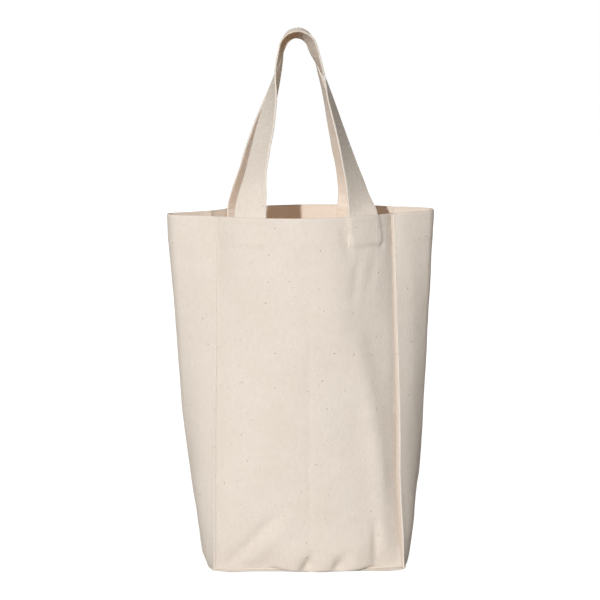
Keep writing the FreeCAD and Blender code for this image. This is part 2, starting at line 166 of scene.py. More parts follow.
# The turned-in edge at the mouth.
hem = {
    "depth": 0.026,
    "foldRadius": 0.0009,
    "foldSteps": 6,
    "outerRows": 3,  # of the fold, that still show the outer face
    "cornerTuck": 0.4,  # how far it goes into a corner, as a share of the margin there
    "shade": 0.45,
}

corners = {"frontLeft": (-1, -1), "frontRight": (1, -1), "backRight": (1, 1), "backLeft": (-1, 1)}


def ease(low, high, value):
    share = np.clip((value - low) / (high - low), 0.0, 1.0)
    return share * share * (3.0 - 2.0 * share)


def ripple(points, scale, seed):
    # soft noise from -1 to 1 at each of the points
    return np.array([noise.noise(Vector(point) * scale + Vector((seed, 0.0, 0.0))) for point in points])


def unit(vectors):
    return vectors / np.linalg.norm(vectors, axis=-1, keepdims=True)


def levelSection(z, side):
    # outline of the bag at each height, for the corners on one side
    depth, width = bag["baseDepth"], bag["baseWidth"]
    rise = np.clip((z - bag["foot"]) / (bag["height"] - bag["foot"]), 0.0, 1.0)
    share = np.sqrt(bag["footShare"] ** 2 + (1 - bag["footShare"] ** 2) * rise)
    bow = bag["mouthBow"] * share
    bulge = 0.5 * math.sqrt(depth ** 2 - bag["mouthCornerDepth"] ** 2) * share
    corner = np.sqrt((depth / 2) ** 2 - bulge ** 2)
    half = (width + np.sqrt(width ** 2 - 32 / 3 * bow ** 2)) / 4
    bulge = bulge + np.interp(z, hang["heights"], hang[side])
    radius = (half ** 2 + bow ** 2) / (2 * bow)
    fold = np.interp(z, hang["creaseHeights"], hang["creaseRadius"])
    reach = np.hypot(bulge - fold, corner)
    slant = np.arctan2(corner, bulge - fold) - np.arcsin(np.minimum(fold / reach, 1.0))
    return {"half": half, "corner": corner, "bow": bow, "bulge": bulge, "radius": radius,
            "lean": np.arcsin(half / radius), "slant": slant, "fold": fold}


def cornerShift(z, name):
    # small wander of an upright seam, the same for both cloths that meet there
    seed = 7.0 * list(corners).index(name) + 3.0
    heights = np.stack([np.zeros_like(z), np.zeros_like(z), z], axis=1)
    shift = [ripple(heights, hang["cornerWave"], seed + axis) for axis in (0.0, 31.0)]
    shift = hang["cornerWander"] * np.stack(shift, axis=1)
    shift[:, 0] += np.interp(z, hang["cornerHeights"], hang["cornerLean"][name])
    return shift


def ridgeReach(z, name):
    return np.interp(z, (0.0, bag["height"]), ridge["reach"][name])


def seamDepth(z):
    # share of the dip beside a seam, which runs out at the foot and is less towards the rim
    return ease(*ridge["dipStarts"], z) * (1 - ridge["dipLoss"] * ease(*ridge["dipFades"], z))


def ridgeColumns(z, name, cloth, clothStart, clothNext):
    # half of a pinched seam: from its crest over the round, down the flank and into the cloth
    signs = np.array(corners[name], float)
    section = levelSection(z, "left" if signs[0] < 0 else "right")
    middle = (section["lean"] + section["slant"]) / 2 + math.radians(ridge["tilt"][name])
    flip = 1.0 if cloth == "panel" else -1.0
    angle = section["lean"] if cloth == "panel" else section["slant"]
    bend = np.clip(flip * (middle - angle), -ridge["sharpest"], ridge["sharpest"])
    root = np.stack([section["half"], section["corner"]], axis=1)
    out = np.stack([np.sin(middle), np.cos(middle)], axis=1)
    across = flip * np.stack([-np.cos(middle), np.sin(middle)], axis=1)
    inward = flip * np.stack([-np.cos(angle), np.sin(angle)], axis=1)
    facing = np.stack([np.sin(angle), np.cos(angle)], axis=1)
    root, out, across, inward, facing = (signs * vector for vector in (root, out, across, inward, facing))
    root = root + cornerShift(z, name)

    thick = ridge["halfThick"]
    top = (ridgeReach(z, name) - thick)[:, None]
    columns = []
    for turn in np.radians(np.linspace(0.0, ridge["round"][cloth], ridge["crestColumns"])):
        columns.append(root + out * (top + thick * math.cos(turn)) + across * thick * math.sin(turn))
    if cloth == "panel":
        footOut = np.minimum(ridge["fillet"], ridge["filletShare"] * top) - (thick * np.tan(bend))[:, None]
        start = root + out * footOut + across * thick
        dip = (ridge["dip"][name] * seamDepth(z))[:, None]
        inner = root + inward * (thick / np.cos(bend))[:, None] - facing * dip
        clothStart = clothStart - facing * dip
        columns.append(0.5 * (columns[-1] + start))
    else:
        start = columns[-1]
        onward = unit(clothNext - clothStart)
        clothStart = clothStart + facing * (ridge["puff"][name] * ridgeReach(z, name))[:, None]
        inner = clothStart - onward * 0.5 * np.linalg.norm(clothStart - start, axis=1, keepdims=True)
    for step in ridge["flank"][cloth]:
        columns.append((1 - step) ** 2 * start + 2 * step * (1 - step) * inner + step ** 2 * clothStart)
    return np.stack(columns, axis=1), out, root


def liftCorners(points):
    # raises the cloth softly where the foot doesn't sit flat
    points = np.array(points)
    for lift in lifted:
        away = np.linalg.norm(points[..., :2] - np.array(lift["place"]), axis=-1) / lift["along"]
        points[..., 2] += lift["height"] * np.exp(-away ** 2 - np.maximum(points[..., 2], 0.0) / liftReach)
    return points


def sinkRim(points):
    # lowers the cloth softly where the rim sinks
    points = np.array(points)
    for sink in sunken:
        away = np.linalg.norm(points[..., :2] - np.array(sink["place"]), axis=-1) / sink["along"]
        upper = ease(-sinkReach, 0.0, points[..., 2] - bag["height"])
        points[..., 2] -= sink["drop"] * np.exp(-away ** 2) * upper
    return points


def panelPoints(z, s, names):
    # plan of a front or back panel; s runs from -0.5 to 0.5 across its cloth
    turn = -corners[names[0]][1]
    section = levelSection(z, "left")
    angle = 2 * s[None, :] * section["lean"][:, None]
    radius = section["radius"][:, None]
    crown = (section["corner"] + section["bow"])[:, None]
    plan = np.stack([radius * np.sin(angle), -(crown - radius + radius * np.cos(angle))], axis=2)
    share = (s + 0.5)[None, :, None]
    shift = cornerShift(z, names[0])[:, None] * (1 - share) + cornerShift(z, names[1])[:, None] * share
    return turn * plan + shift


def gussetPoints(z, s, names):
    # plan of a side gusset: straight from a corner, round the fold and straight to the other corner
    turn = corners[names[0]][0]
    side = "right" if turn > 0 else "left"
    section = {key: value[:, None] for key, value in levelSection(z, side).items()}
    fold, slant = section["fold"], section["slant"]
    middle = section["half"] + section["bulge"] - fold
    tangent = (middle + fold * np.sin(slant), fold * np.cos(slant))
    straight = np.hypot(tangent[0] - section["half"], tangent[1] - section["corner"])
    whole = straight + fold * (math.pi / 2 - slant)
    walk = (1 - 2 * np.abs(s)[None, :]) * whole
    turned = slant + np.maximum(walk - straight, 0.0) / fold
    onLine = walk < straight
    x = np.where(onLine, section["half"] + walk * np.cos(slant), middle + fold * np.sin(turned))
    y = np.where(onLine, section["corner"] - walk * np.sin(slant), fold * np.cos(turned))
    swell = np.interp(z, hang["swellHeights"], hang["swell"][side])[:, None]
    swell = swell * np.sin(math.pi * walk / whole)
    x, y = x + swell * np.sin(slant), y + swell * np.cos(slant)
    plan = np.stack([x, np.sign(s)[None, :] * y], axis=2)
    first = np.clip(-2 * s, 0, 1)[None, :, None]
    last = np.clip(2 * s, 0, 1)[None, :, None]
    shift = cornerShift(z, names[0])[:, None] * first + cornerShift(z, names[1])[:, None] * last
    return turn * plan + shift


def wallRows():
    # heights up a wall, closest together where the cloth is dented and where it is hemmed
    dented, hemmed = clothGrid["heights"]
    low = np.arange(bag["wallStart"], dented, clothGrid["lowStep"])
    middle = np.arange(dented, hemmed, clothGrid["middleStep"])
    high = np.linspace(hemmed, bag["height"] - hem["foldRadius"], clothGrid["hemRows"])
    return np.concatenate([low, middle, high])


def lipRows():
    # reach and height of the turned-out foot of a wall, from its edge to where the wall begins
    thick = bag["canvas"]
    edge = lip["reach"] - thick
    rows = [(edge + thick * math.cos(turn), thick + thick * math.sin(turn))
            for turn in np.radians(lip["turns"])]
    rows.append((0.5 * (edge + lip["fillet"]), 2 * thick))
    for step in lip["steps"]:
        rows.append(((1 - step) ** 2 * lip["fillet"], 2 * thick + step ** 2 * (lip["height"] - 2 * thick)))
    return np.array(rows)


def surfaceNormals(points):
    across = np.gradient(points, axis=1)
    upward = np.gradient(points, axis=0)
    return unit(np.cross(across, upward))


def wallCloth(relief):
    # grid of a whole wall: lip, wall and hem, with the relief of its folds and dents
    cloth, names = relief["cloth"], relief["corners"]
    columns = clothGrid["columns"][cloth]
    margin = ridge["margin"][cloth] / clothWidth[cloth]
    s = np.linspace(margin - 0.5, 0.5 - margin, columns)
    heights = wallRows()
    plan = panelPoints if cloth == "panel" else gussetPoints

    def level(z):
        inside = plan(z, s, names)
        left, leftOut, leftRoot = ridgeColumns(z, names[0], cloth, inside[:, 0], inside[:, 1])
        right, rightOut, rightRoot = ridgeColumns(z, names[1], cloth, inside[:, -1], inside[:, -2])
        rows = np.concatenate([left, inside, right[:, ::-1]], axis=1)
        return rows, left.shape[1], (leftOut, rightOut), (leftRoot, rightRoot)

    wall, count, outs, roots = level(heights)
    wall = np.concatenate([wall, np.broadcast_to(heights[:, None, None], wall.shape[:2] + (1,))], axis=2)
    normals = surfaceNormals(wall)
    inside = slice(count, count + columns)

    feet = lipRows()
    foot = level(np.maximum(feet[:, 1], bag["foot"]))[0]
    outward = normals[0, :, :2].copy()
    reachShare = np.ones(len(outward))
    blend = np.linspace(0.0, 1.0, count)[:, None]
    outward[:count] = outs[0][0] * (1 - blend) + outward[count] * blend
    outward[-count:] = (outs[1][0] * (1 - blend) + outward[-count - 1] * blend)[::-1]
    outward = unit(outward)
    reachShare[:count] = lip["cornerShare"] + (1 - lip["cornerShare"]) * blend[:, 0]
    reachShare[-count:] = reachShare[:count][::-1]
    if cloth == "gusset":
        reachShare *= lip["gussetShare"]
    reachShare[inside] *= 1 + relief["flare"] * ease(*lip["flareSpan"], s)
    reachShare[inside] *= 1 - (1 - lip["bellyShare"]) * sagging(s * bag["baseWidth"], relief["belly"])
    foot = foot + outward[None] * (reachShare[None, :] * feet[:, :1])[:, :, None]
    foot = np.concatenate([foot, np.broadcast_to(feet[:, 1:, None], foot.shape[:2] + (1,))], axis=2)

    wall[:, inside] += normals[:, inside] * reliefOut(relief, s, heights, wall[:, inside])[:, :, None]
    wall[:, inside, 2] -= reliefDown(relief, s, heights)
    if cloth == "gusset":
        first, last = ridge["smoothed"]
        for _ in range(ridge["smoothing"]):
            for part in (slice(first, last), slice(-last, -first)):
                before, after = (slice(part.start + step, part.stop + step) for step in (-1, 1))
                wall[:, part] = (wall[:, before] + 2 * wall[:, part] + wall[:, after]) / 4
    smoothNormals = surfaceNormals(wall)[:, inside]

    folded = []
    radius = hem["foldRadius"]

    def tucked(row, depth, rise):
        # one row of the turned-in layer, carried into both corners so that the layers meet there
        inset = hem["cornerTuck"] * ridge["margin"]["panel"] + depth
        ends = [np.append(root[row] - out[row] * inset, heights[row]) for root, out in zip(roots, outs)]
        middle = wall[row, inside] - smoothNormals[row] * depth
        return np.concatenate([ends[:1], middle, ends[1:]]) + np.array((0.0, 0.0, rise))

    for turn in np.linspace(0.0, math.pi, hem["foldSteps"] + 1)[1:]:
        folded.append(tucked(-1, radius * (1 - math.cos(turn)), radius * math.sin(turn)))
    for row in range(len(heights) - 2, -1, -1):
        if heights[row] < bag["height"] - hem["depth"]:
            break
        folded.append(tucked(row, 2 * radius, 0.0))
    points = sinkRim(liftCorners(np.concatenate([foot, wall])))
    return {"s": s, "heights": heights, "points": points, "hem": sinkRim(folded), "inside": inside,
            "tucked": slice(inside.start - 1, inside.stop + 1), "lipRows": len(feet),
            "normals": smoothNormals, "names": names, "cloth": cloth}


def lengths(points):
    steps = np.linalg.norm(np.diff(points, axis=0), axis=1)
    return np.concatenate([[0.0], np.cumsum(steps)])


def addObject(name, data):
    made = bpy.data.objects.new(name, data)
    bpy.context.scene.collection.objects.link(made)
    return made


def pointsAt(at, walked, values):
    # values at some lengths along a line
    return np.stack([np.interp(at, walked, values[:, axis]) for axis in range(3)], axis=1)


def finishMesh(name, verts, faces, uv, marks, materials, thickness=0.0):
    # a smooth mesh object with its cloth coordinates and marks, such as where it is rubbed or where shade is
    # painted
    mesh = bpy.data.meshes.new(name)
    mesh.from_pydata(verts.tolist(), [], faces)
    layer = mesh.uv_layers.new(name="cloth")
    order = np.zeros(len(mesh.loops), np.int32)
    mesh.loops.foreach_get("vertex_index", order)
    layer.data.foreach_set("uv", uv[order].astype(np.float32).ravel())
    for label in markShares:
        mark = mesh.attributes.new(label, "FLOAT", "POINT")
        values = marks.get(label, np.zeros(len(verts)))
        mark.data.foreach_set("value", values.astype(np.float32))
    for material in materials:
        mesh.materials.append(material)
    piece = addObject(name, mesh)
    if thickness:
        layerModifier = piece.modifiers.new("layer", "SOLIDIFY")
        layerModifier.thickness = thickness
        layerModifier.offset = -1.0
        # the inner face takes the last material, which for the walls and base is the painted shade of the inside
        layerModifier.material_offset = len(materials) - 1
        applyModifiers(piece)
    piece.data.shade_smooth()
    piece.data.set_sharp_from_angle(angle=math.radians(55.0))
    return piece


def applyModifiers(piece):
    depsgraph = bpy.context.evaluated_depsgraph_get()
    piece.data = bpy.data.meshes.new_from_object(piece.evaluated_get(depsgraph))
    piece.modifiers.clear()


def gridFaces(rows, columns, start=0, closed=False):
    faces = []
    for row in range(rows - 1):
        for column in range(columns if closed else columns - 1):
            beside = (column + 1) % columns
            a, b = start + row * columns + column, start + row * columns + beside
            faces.append((a, b, b + columns, a + columns))
    return faces


def hemmedCloth(points, folded, inside, u, v):
    # vertices, faces and cloth coordinates of a grid whose top edge is turned over along its inside columns
    rows, columns = points.shape[:2]
    width = inside.stop - inside.start
    first, top = rows * columns, (rows - 1) * columns + inside.start
    faces = gridFaces(rows, columns)
    faces += [(top + column, top + column + 1, first + column + 1, first + column)
              for column in range(width - 1)]
    faces += gridFaces(len(folded), width, first)
    verts = np.concatenate([points.reshape(-1, 3), folded.reshape(-1, 3)])
    uv = np.concatenate([np.stack(np.meshgrid(*axes), axis=2).reshape(-1, 2)
                         for axes in ((u, v[:rows]), (u[inside], v[rows:]))])
    return verts, faces, uv


def buildWall(name, grid, shift):
    points, folded = grid["points"], grid["hem"]
    rows, columns = points.shape[:2]
    u = lengths(points[rows // 2])
    v = lengths(np.concatenate([points[:, columns // 2], folded[:, folded.shape[1] // 2]]))
    verts, faces, uv = hemmedCloth(points, folded, grid["tucked"], u + shift, v)

    crest, lipEdge = ridge["crestColumns"], slice(0, rubbing["lipRows"])
    wear = np.zeros((rows, columns))
    wear[:, :crest] = rubbing["crest"]
    wear[:, -crest:] = rubbing["crest"][::-1]
    wear[lipEdge] = np.maximum(wear[lipEdge], rubbing["lip"])
    wear[-1] = np.maximum(wear[-1], rubbing["rim"])
    # painted shade on a panel: darker towards its foot and in the valley beside each ridge
    crease = np.zeros((rows, columns))
    if grid["cloth"] == "panel":
        level = points[:, columns // 2, 2][:, None]
        crease += shadePainting["foot"] * (1 - ease(*shadePainting["footHeights"], level))
        count = len(shadePainting["valley"])
        far = ease(*shadePainting["starts"], level) * (1 - shadePainting["loss"] * ease(*shadePainting["fades"], level))
        valley = shadePainting["valley"] * np.where(np.arange(count) < shadePainting["near"], 1.0, far)
        crease[:, crest:crest + count] += valley * ridge["crease"][grid["names"][0]]
        crease[:, -crest - count:-crest] += valley[:, ::-1] * ridge["crease"][grid["names"][1]]
    # painted shade along the fold of the hem, and on the inner rows of the hem
    hemFoldShade, hemInnerShade = np.zeros(folded.shape[:2]), np.ones(folded.shape[:2])
    hemFoldShade[1:hem["foldSteps"]] = hem["shade"]
    hemInnerShade[:hem["outerRows"]] = 0.0
    marks = {"rubbed": np.concatenate([wear.ravel(), np.zeros(hemFoldShade.size)]),
             "crease": np.concatenate([crease.ravel(), hemFoldShade.ravel()]),
             "inside": np.concatenate([np.zeros(wear.size), hemInnerShade.ravel()])}
    piece = finishMesh(name, verts, faces, uv, marks, (canvas, canvasShadedInside), bag["canvas"])
    return piece, (u[-1], v[-1])


def onWall(grid, s, z, lift=0.0):
    # points on the outer face of a wall, at shares s across its cloth and heights z
    s, z = np.broadcast_arrays(np.asarray(s, float), np.asarray(z, float))
    wall = grid["points"][grid["lipRows"]:, grid["inside"]]
    row = np.interp(z, grid["heights"], np.arange(len(grid["heights"])))
    column = np.interp(s, grid["s"], np.arange(len(grid["s"])))
    low = np.minimum(row.astype(int), wall.shape[0] - 2)
    left = np.minimum(column.astype(int), wall.shape[1] - 2)
    up, over = (row - low)[..., None], (column - left)[..., None]

    def mixed(values):
        return ((1 - up) * ((1 - over) * values[low, left] + over * values[low, left + 1])
                + up * ((1 - over) * values[low + 1, left] + over * values[low + 1, left + 1]))

    return mixed(wall) + mixed(grid["normals"]) * lift


# Node helpers

def feed(tree, target, value):
    # links an output to a socket, or sets the socket to a plain value
    if hasattr(value, "is_output"):
        tree.links.new(value, target)
    else:
        target.default_value = value


def addNode(tree, kind, inputs=None, **settings):
    made = tree.nodes.new(kind)
    for label, value in settings.items():
        setattr(made, label, value)
    for label, value in (inputs or {}).items():
        feed(tree, made.inputs[label], value)
    return made


def calc(tree, operation, first, second=0.0):
    return addNode(tree, "ShaderNodeMath", {0: first, 1: second}, operation=operation).outputs[0]


def blendColour(tree, share, first, second):
    made = addNode(tree, "ShaderNodeMix", {"Factor": share, "A": first, "B": second}, data_type="RGBA")
    return made.outputs["Result"]


def scaled(tree, vector, scale):
    return addNode(tree, "ShaderNodeMapping", {"Vector": vector, "Scale": scale}).outputs["Vector"]


def softNoise(tree, vector, scale, detail=2.0):
    made = addNode(tree, "ShaderNodeTexNoise", {"Vector": vector, "Scale": scale, "Detail": detail})
    return made.outputs["Fac"]


def newGroup(name, sizes, results):
    # shader group that reads a place on the cloth and some sizes
    tree = bpy.data.node_groups.new(name, "ShaderNodeTree")
    tree.interface.new_socket(name="Vector", in_out="INPUT", socket_type="NodeSocketVector")
    for label, value in sizes.items():
        made = tree.interface.new_socket(name=label, in_out="INPUT", socket_type="NodeSocketFloat")
        made.default_value = value
    for label in results:
        tree.interface.new_socket(name=label, in_out="OUTPUT", socket_type="NodeSocketFloat")
    return tree, tree.nodes.new("NodeGroupInput").outputs, tree.nodes.new("NodeGroupOutput").inputs


def useGroup(tree, group, **values):
    return addNode(tree, "ShaderNodeGroup", values, node_tree=group).outputs


def newMaterial(name, plain):
    # material whose plain values are set on the shader's own sockets
    material = bpy.data.materials.new(name)
    material.use_nodes = True
    surface = material.node_tree.nodes["Principled BSDF"].inputs
    for label, value in plain.items():
        surface[label].default_value = value
    return material, material.node_tree, surface


def addBump(tree, surface, height, strength, distance):
    bump = addNode(tree, "ShaderNodeBump", {"Strength": strength, "Distance": distance, "Height": height})
    tree.links.new(bump.outputs["Normal"], surface["Normal"])


def makeWeaveGroup():
    # plain weave: one set of threads over and under the other
    tree, given, result = newGroup("plainWeave", {"Across": 0.001, "Along": 0.001, "Unevenness": 0.2},
                                   ("Height", "Thread"))
    parts = addNode(tree, "ShaderNodeSeparateXYZ", {0: given["Vector"]}).outputs
    drift = calc(tree, "SUBTRACT", softNoise(tree, given["Vector"], 90.0), 0.5)
    drift = calc(tree, "MULTIPLY", drift, given["Unevenness"])
    waves = []
    for axis, pitch in (("X", "Across"), ("Y", "Along")):
        count = calc(tree, "ADD", calc(tree, "DIVIDE", parts[axis], given[pitch]), drift)
        waves.append(calc(tree, "SINE", calc(tree, "MULTIPLY", count, math.pi)))
    crossing = calc(tree, "MULTIPLY", *waves)
    warp = calc(tree, "ADD", calc(tree, "ABSOLUTE", waves[0]), crossing)
    weft = calc(tree, "SUBTRACT", calc(tree, "ABSOLUTE", waves[1]), crossing)
    feed(tree, result["Height"], calc(tree, "MULTIPLY", calc(tree, "MAXIMUM", warp, weft), 0.5))
    streaks = [softNoise(tree, scaled(tree, given["Vector"], scale), 1.0, 3.0)
               for scale in ((700.0, 14.0, 1.0), (14.0, 700.0, 1.0))]
    feed(tree, result["Thread"], calc(tree, "MULTIPLY", calc(tree, "ADD", *streaks), 0.5))
    return tree


def makeSpeckGroup():
    # scattered round flecks: bits of seed hull and small lumps in the yarn
    tree, given, result = newGroup("seedSpecks", {"Scale": 80.0, "Size": 0.07, "Share": 0.6}, ("Mask",))
    cells = addNode(tree, "ShaderNodeTexVoronoi", {"Vector": given["Vector"], "Scale": given["Scale"]},
                    voronoi_dimensions="2D").outputs
    drawn = addNode(tree, "ShaderNodeSeparateColor", {0: cells["Color"]}).outputs
    chosen = calc(tree, "LESS_THAN", drawn["Red"], given["Share"])
    radius = calc(tree, "MULTIPLY", given["Size"], calc(tree, "ADD", drawn["Green"], 0.4))
    near = calc(tree, "SUBTRACT", 1.0, calc(tree, "DIVIDE", cells["Distance"], radius))
    near = calc(tree, "MULTIPLY", calc(tree, "MAXIMUM", near, 0.0), 2.2)
    feed(tree, result["Mask"], calc(tree, "MULTIPLY", calc(tree, "MINIMUM", near, 1.0), chosen))
    return tree


def makeHandlingGroup():
    # broad uneven toning from handling and from the unbleached yarn
    tree, given, result = newGroup("handling", {"Scale": 20.0}, ("Mask",))
    spread = calc(tree, "SUBTRACT", softNoise(tree, given["Vector"], given["Scale"], 4.0), 0.3)
    spread = calc(tree, "MAXIMUM", calc(tree, "MULTIPLY", spread, 2.5), 0.0)
    feed(tree, result["Mask"], calc(tree, "MINIMUM", spread, 1.0))
    return tree


weaveGroup = makeWeaveGroup()
speckGroup = makeSpeckGroup()
handlingGroup = makeHandlingGroup()

markShares = {"rubbed": 0.7, "inside": 1.0, "crease": 0.6}  # how strongly each mark on a mesh shows: rubbed is wear, the other two are painted shade
specks = {  # how strongly each kind shows, how it is stretched, and the sizes of its flecks
    "fleck": {"strength": 0.6, "stretch": (1.0, 1.3, 1.0),
              "sizes": {"Scale": 95.0, "Size": 0.048, "Share": 0.6}},
    "nub": {"strength": 0.7, "stretch": (1.4, 1.0, 1.0),
            "sizes": {"Scale": 61.0, "Size": 0.040, "Share": 0.55}},
    "seed": {"strength": 0.7, "stretch": (1.0, 1.0, 1.0),
             "sizes": {"Scale": 42.0, "Size": 0.024, "Share": 0.75}},
}
canvasLook = {
    "light": (0.830, 0.752, 0.672, 1.0),
    "deep": (0.790, 0.706, 0.622, 1.0),
    "rubbed": (0.860, 0.790, 0.715, 1.0),
    # painted shade for the hem's inner rows
    "inside": (0.795, 0.715, 0.630, 1.0),
    # colour of the painted shade at a panel's foot, beside the ridges and along the hem's fold
    "crease": (0.560, 0.455, 0.365, 1.0),
    "seed": (0.230, 0.160, 0.105, 1.0),
    "fleck": (0.480, 0.385, 0.290, 1.0),
    "nub": (0.950, 0.900, 0.830, 1.0),
    "uneven": (0.720, 0.640, 0.560, 1.0),
    "toningScale": 22.0,
    "mottle": 0.45,
    "mottleScale": 290.0,
    "mottleStretch": (1.0, 0.45, 1.0),
    "mottleDepth": 0.6,
    "pitch": 0.00095,  # of the threads
    "nap": 2.2,
    "napScale": 620.0,
    "lumps": 0.8,
    "bump": 0.40,
    "roughness": 0.92,
    "specular": 0.15,
    "sheen": 0.05,
    "sheenRoughness": 0.6,
}
# inner faces of the walls and base: a warmer painted shade that stands in for the light bounced inside the bag
shadedInsideLook = canvasLook | {
    "light": (0.860, 0.660, 0.460, 1.0),
    "deep": (0.820, 0.610, 0.410, 1.0),
}
webbingLook = canvasLook | {
    "light": (0.865, 0.785, 0.702, 1.0),
    "deep": (0.805, 0.716, 0.622, 1.0),
    "rubbed": (0.845, 0.768, 0.686, 1.0),
    # painted shade under the grip
    "inside": (0.560, 0.400, 0.265, 1.0),
    "seed": (0.260, 0.180, 0.120, 1.0),
    "pitch": 0.0017,
    "nap": 0.8,
    "roughness": 0.95,
}


def makeCloth(name, look):
    material, tree, surface = newMaterial(name, {
        "Roughness": look["roughness"], "Specular IOR Level": look["specular"],
        "Sheen Weight": look["sheen"], "Sheen Roughness": look["sheenRoughness"]})
    place = addNode(tree, "ShaderNodeTexCoord").outputs["UV"]
    weave = useGroup(tree, weaveGroup, Vector=place, Across=look["pitch"], Along=look["pitch"])
    toning = useGroup(tree, handlingGroup, Vector=place, Scale=look["toningScale"])["Mask"]
    mottle = useGroup(tree, handlingGroup, Vector=scaled(tree, place, look["mottleStretch"]),
                      Scale=look["mottleScale"])["Mask"]
    masks = {}
    for label, kind in specks.items():
        spread = scaled(tree, place, kind["stretch"])
        masks[label] = useGroup(tree, speckGroup, Vector=spread, **kind["sizes"])["Mask"]

    # colours laid over each other, each with its share; some of the marks are painted shade
    yarn = calc(tree, "MULTIPLY", calc(tree, "SUBTRACT", weave["Thread"], 0.35), 0.9)
    layers = [("uneven", calc(tree, "MULTIPLY", mottle, look["mottle"])), ("deep", yarn)]
    for label, share in markShares.items():
        mark = addNode(tree, "ShaderNodeAttribute", attribute_name=label).outputs["Fac"]
        layers.append((label, calc(tree, "MULTIPLY", mark, share)))
    for label, kind in specks.items():
        layers.append((label, calc(tree, "MULTIPLY", masks[label], kind["strength"])))
    colour = blendColour(tree, toning, look["light"], look["deep"])
    for label, share in layers:
        colour = blendColour(tree, share, colour, look[label])
    tree.links.new(colour, surface["Base Color"])

    lumps = calc(tree, "MULTIPLY", calc(tree, "ADD", masks["fleck"], masks["nub"]), look["lumps"])
    nap = calc(tree, "MULTIPLY", softNoise(tree, place, look["napScale"], 3.0), look["nap"])
    height = calc(tree, "ADD", calc(tree, "ADD", weave["Height"], nap), lumps)
    height = calc(tree, "SUBTRACT", height, calc(tree, "MULTIPLY", mottle, look["mottleDepth"]))
    addBump(tree, surface, height, look["bump"], 0.4 * look["pitch"])
    return material


canvas = makeCloth("naturalCanvas", canvasLook)
# the inner face gets the painted warm shade
canvasShadedInside = makeCloth("naturalCanvasShadedInside", shadedInsideLook)
webbing = makeCloth("cottonWebbing", webbingLook)
print("materials made")

# Folds and dents in the walls: places across and up the cloth in metres, as the light shows them.
frontFolds = [
    {"line": ((-0.078, 0.006), (-0.052, 0.030), (-0.030, 0.054)), "height": -0.0023, "width": 0.0064},
    {"line": ((-0.062, 0.004), (-0.040, 0.024), (-0.018, 0.048)), "height": 0.0016, "width": 0.0080},
    {"line": ((0.046, 0.215), (0.0585, 0.150), (0.0685, 0.085), (0.0700, 0.040)),
     "height": 0.0031, "width": 0.0105},
    {"line": ((0.020, 0.305), (0.030, 0.230), (0.046, 0.150)), "height": 0.0022, "width": 0.0180},
    {"line": ((-0.006, 0.003), (0.002, 0.018)), "height": -0.0064, "width": 0.0052},
    {"line": ((0.022, 0.004), (0.032, 0.017)), "height": -0.0056, "width": 0.0058},
    {"line": ((0.061, 0.004), (0.0620, 0.046)), "height": -0.0022, "width": 0.0038},
    {"line": ((0.078, 0.012), (0.064, 0.050)), "height": 0.0012, "width": 0.0060},
    {"line": ((0.031, 0.322), (0.038, 0.292)), "height": -0.0012, "width": 0.0045},
    {"line": ((0.048, 0.294), (0.040, 0.248)), "height": -0.0008, "width": 0.0050},
    {"line": ((0.066, 0.296), (0.055, 0.258)), "height": -0.0006, "width": 0.0055},
    {"line": ((0.0735, 0.306), (0.0715, 0.300)), "height": -0.0014, "width": 0.0026},
]
backFolds = [
    {"line": ((-0.070, 0.010), (-0.040, 0.052)), "height": -0.0018, "width": 0.0065},
    {"line": ((0.064, 0.200), (0.058, 0.100), (0.050, 0.008)), "height": 0.0018, "width": 0.0120},
    {"line": ((0.010, 0.004), (0.006, 0.022)), "height": -0.0022, "width": 0.0040},
    {"line": ((-0.020, 0.160), (0.030, 0.120)), "height": -0.0012, "width": 0.0110},
]
leftFolds = [
    {"line": ((-0.010, 0.250), (-0.016, 0.150), (-0.014, 0.080)), "height": -0.0016, "width": 0.0100},
    {"line": ((0.030, 0.012), (0.008, 0.060)), "height": -0.0018, "width": 0.0060},
    {"line": ((-0.032, 0.010), (-0.006, 0.070)), "height": -0.0014, "width": 0.0070},
]
rightFolds = [
    {"line": ((0.012, 0.240), (0.016, 0.140)), "height": -0.0016, "width": 0.0100},
    {"line": ((-0.034, 0.014), (-0.010, 0.070)), "height": -0.0016, "width": 0.0060},
    {"line": ((0.030, 0.010), (0.012, 0.050)), "height": -0.0018, "width": 0.0060},
]
panelRelief = {
    "belly": 1.0,  # share of the sag of the front over the lip at its foot
    "bellyMiddle": 0.013,
    "bellyHalf": 0.056,
    "bellyFlat": 0.48,  # share of that half that sags in full
    "strapRaise": (0.0004, 0.0013),  # imprint of the left and right strap ends
    "imprintWander": 0.0010,
    "imprintWave": 95.0,
    "imprintDepth": 0.0265,
    "imprintSlant": (0.0, 0.12),
    "imprintLow": (0.001, 0.0016),  # softness of its lower edge and of its sides, inwards and outwards
    "imprintSide": (0.0010, 0.0018),
    "hemRaise": 0.0002,
    "hemEdge": 0.002,
    "seamPull": 0.0007,  # along the divider's line of stitches
    "pullReach": 0.004,
    "pullEnds": 0.01,
    "seamHold": 0.016,  # how near to a seam and to the rim the folds die away
    "rimHold": (-0.002, 0.013),
    "foldEnds": 0.35,  # what is left of a fold at its ends
    "broad": 0.0012,
    "broadWave": 16.0,
    "fine": 0.00025,
    "fineWave": 75.0,
}
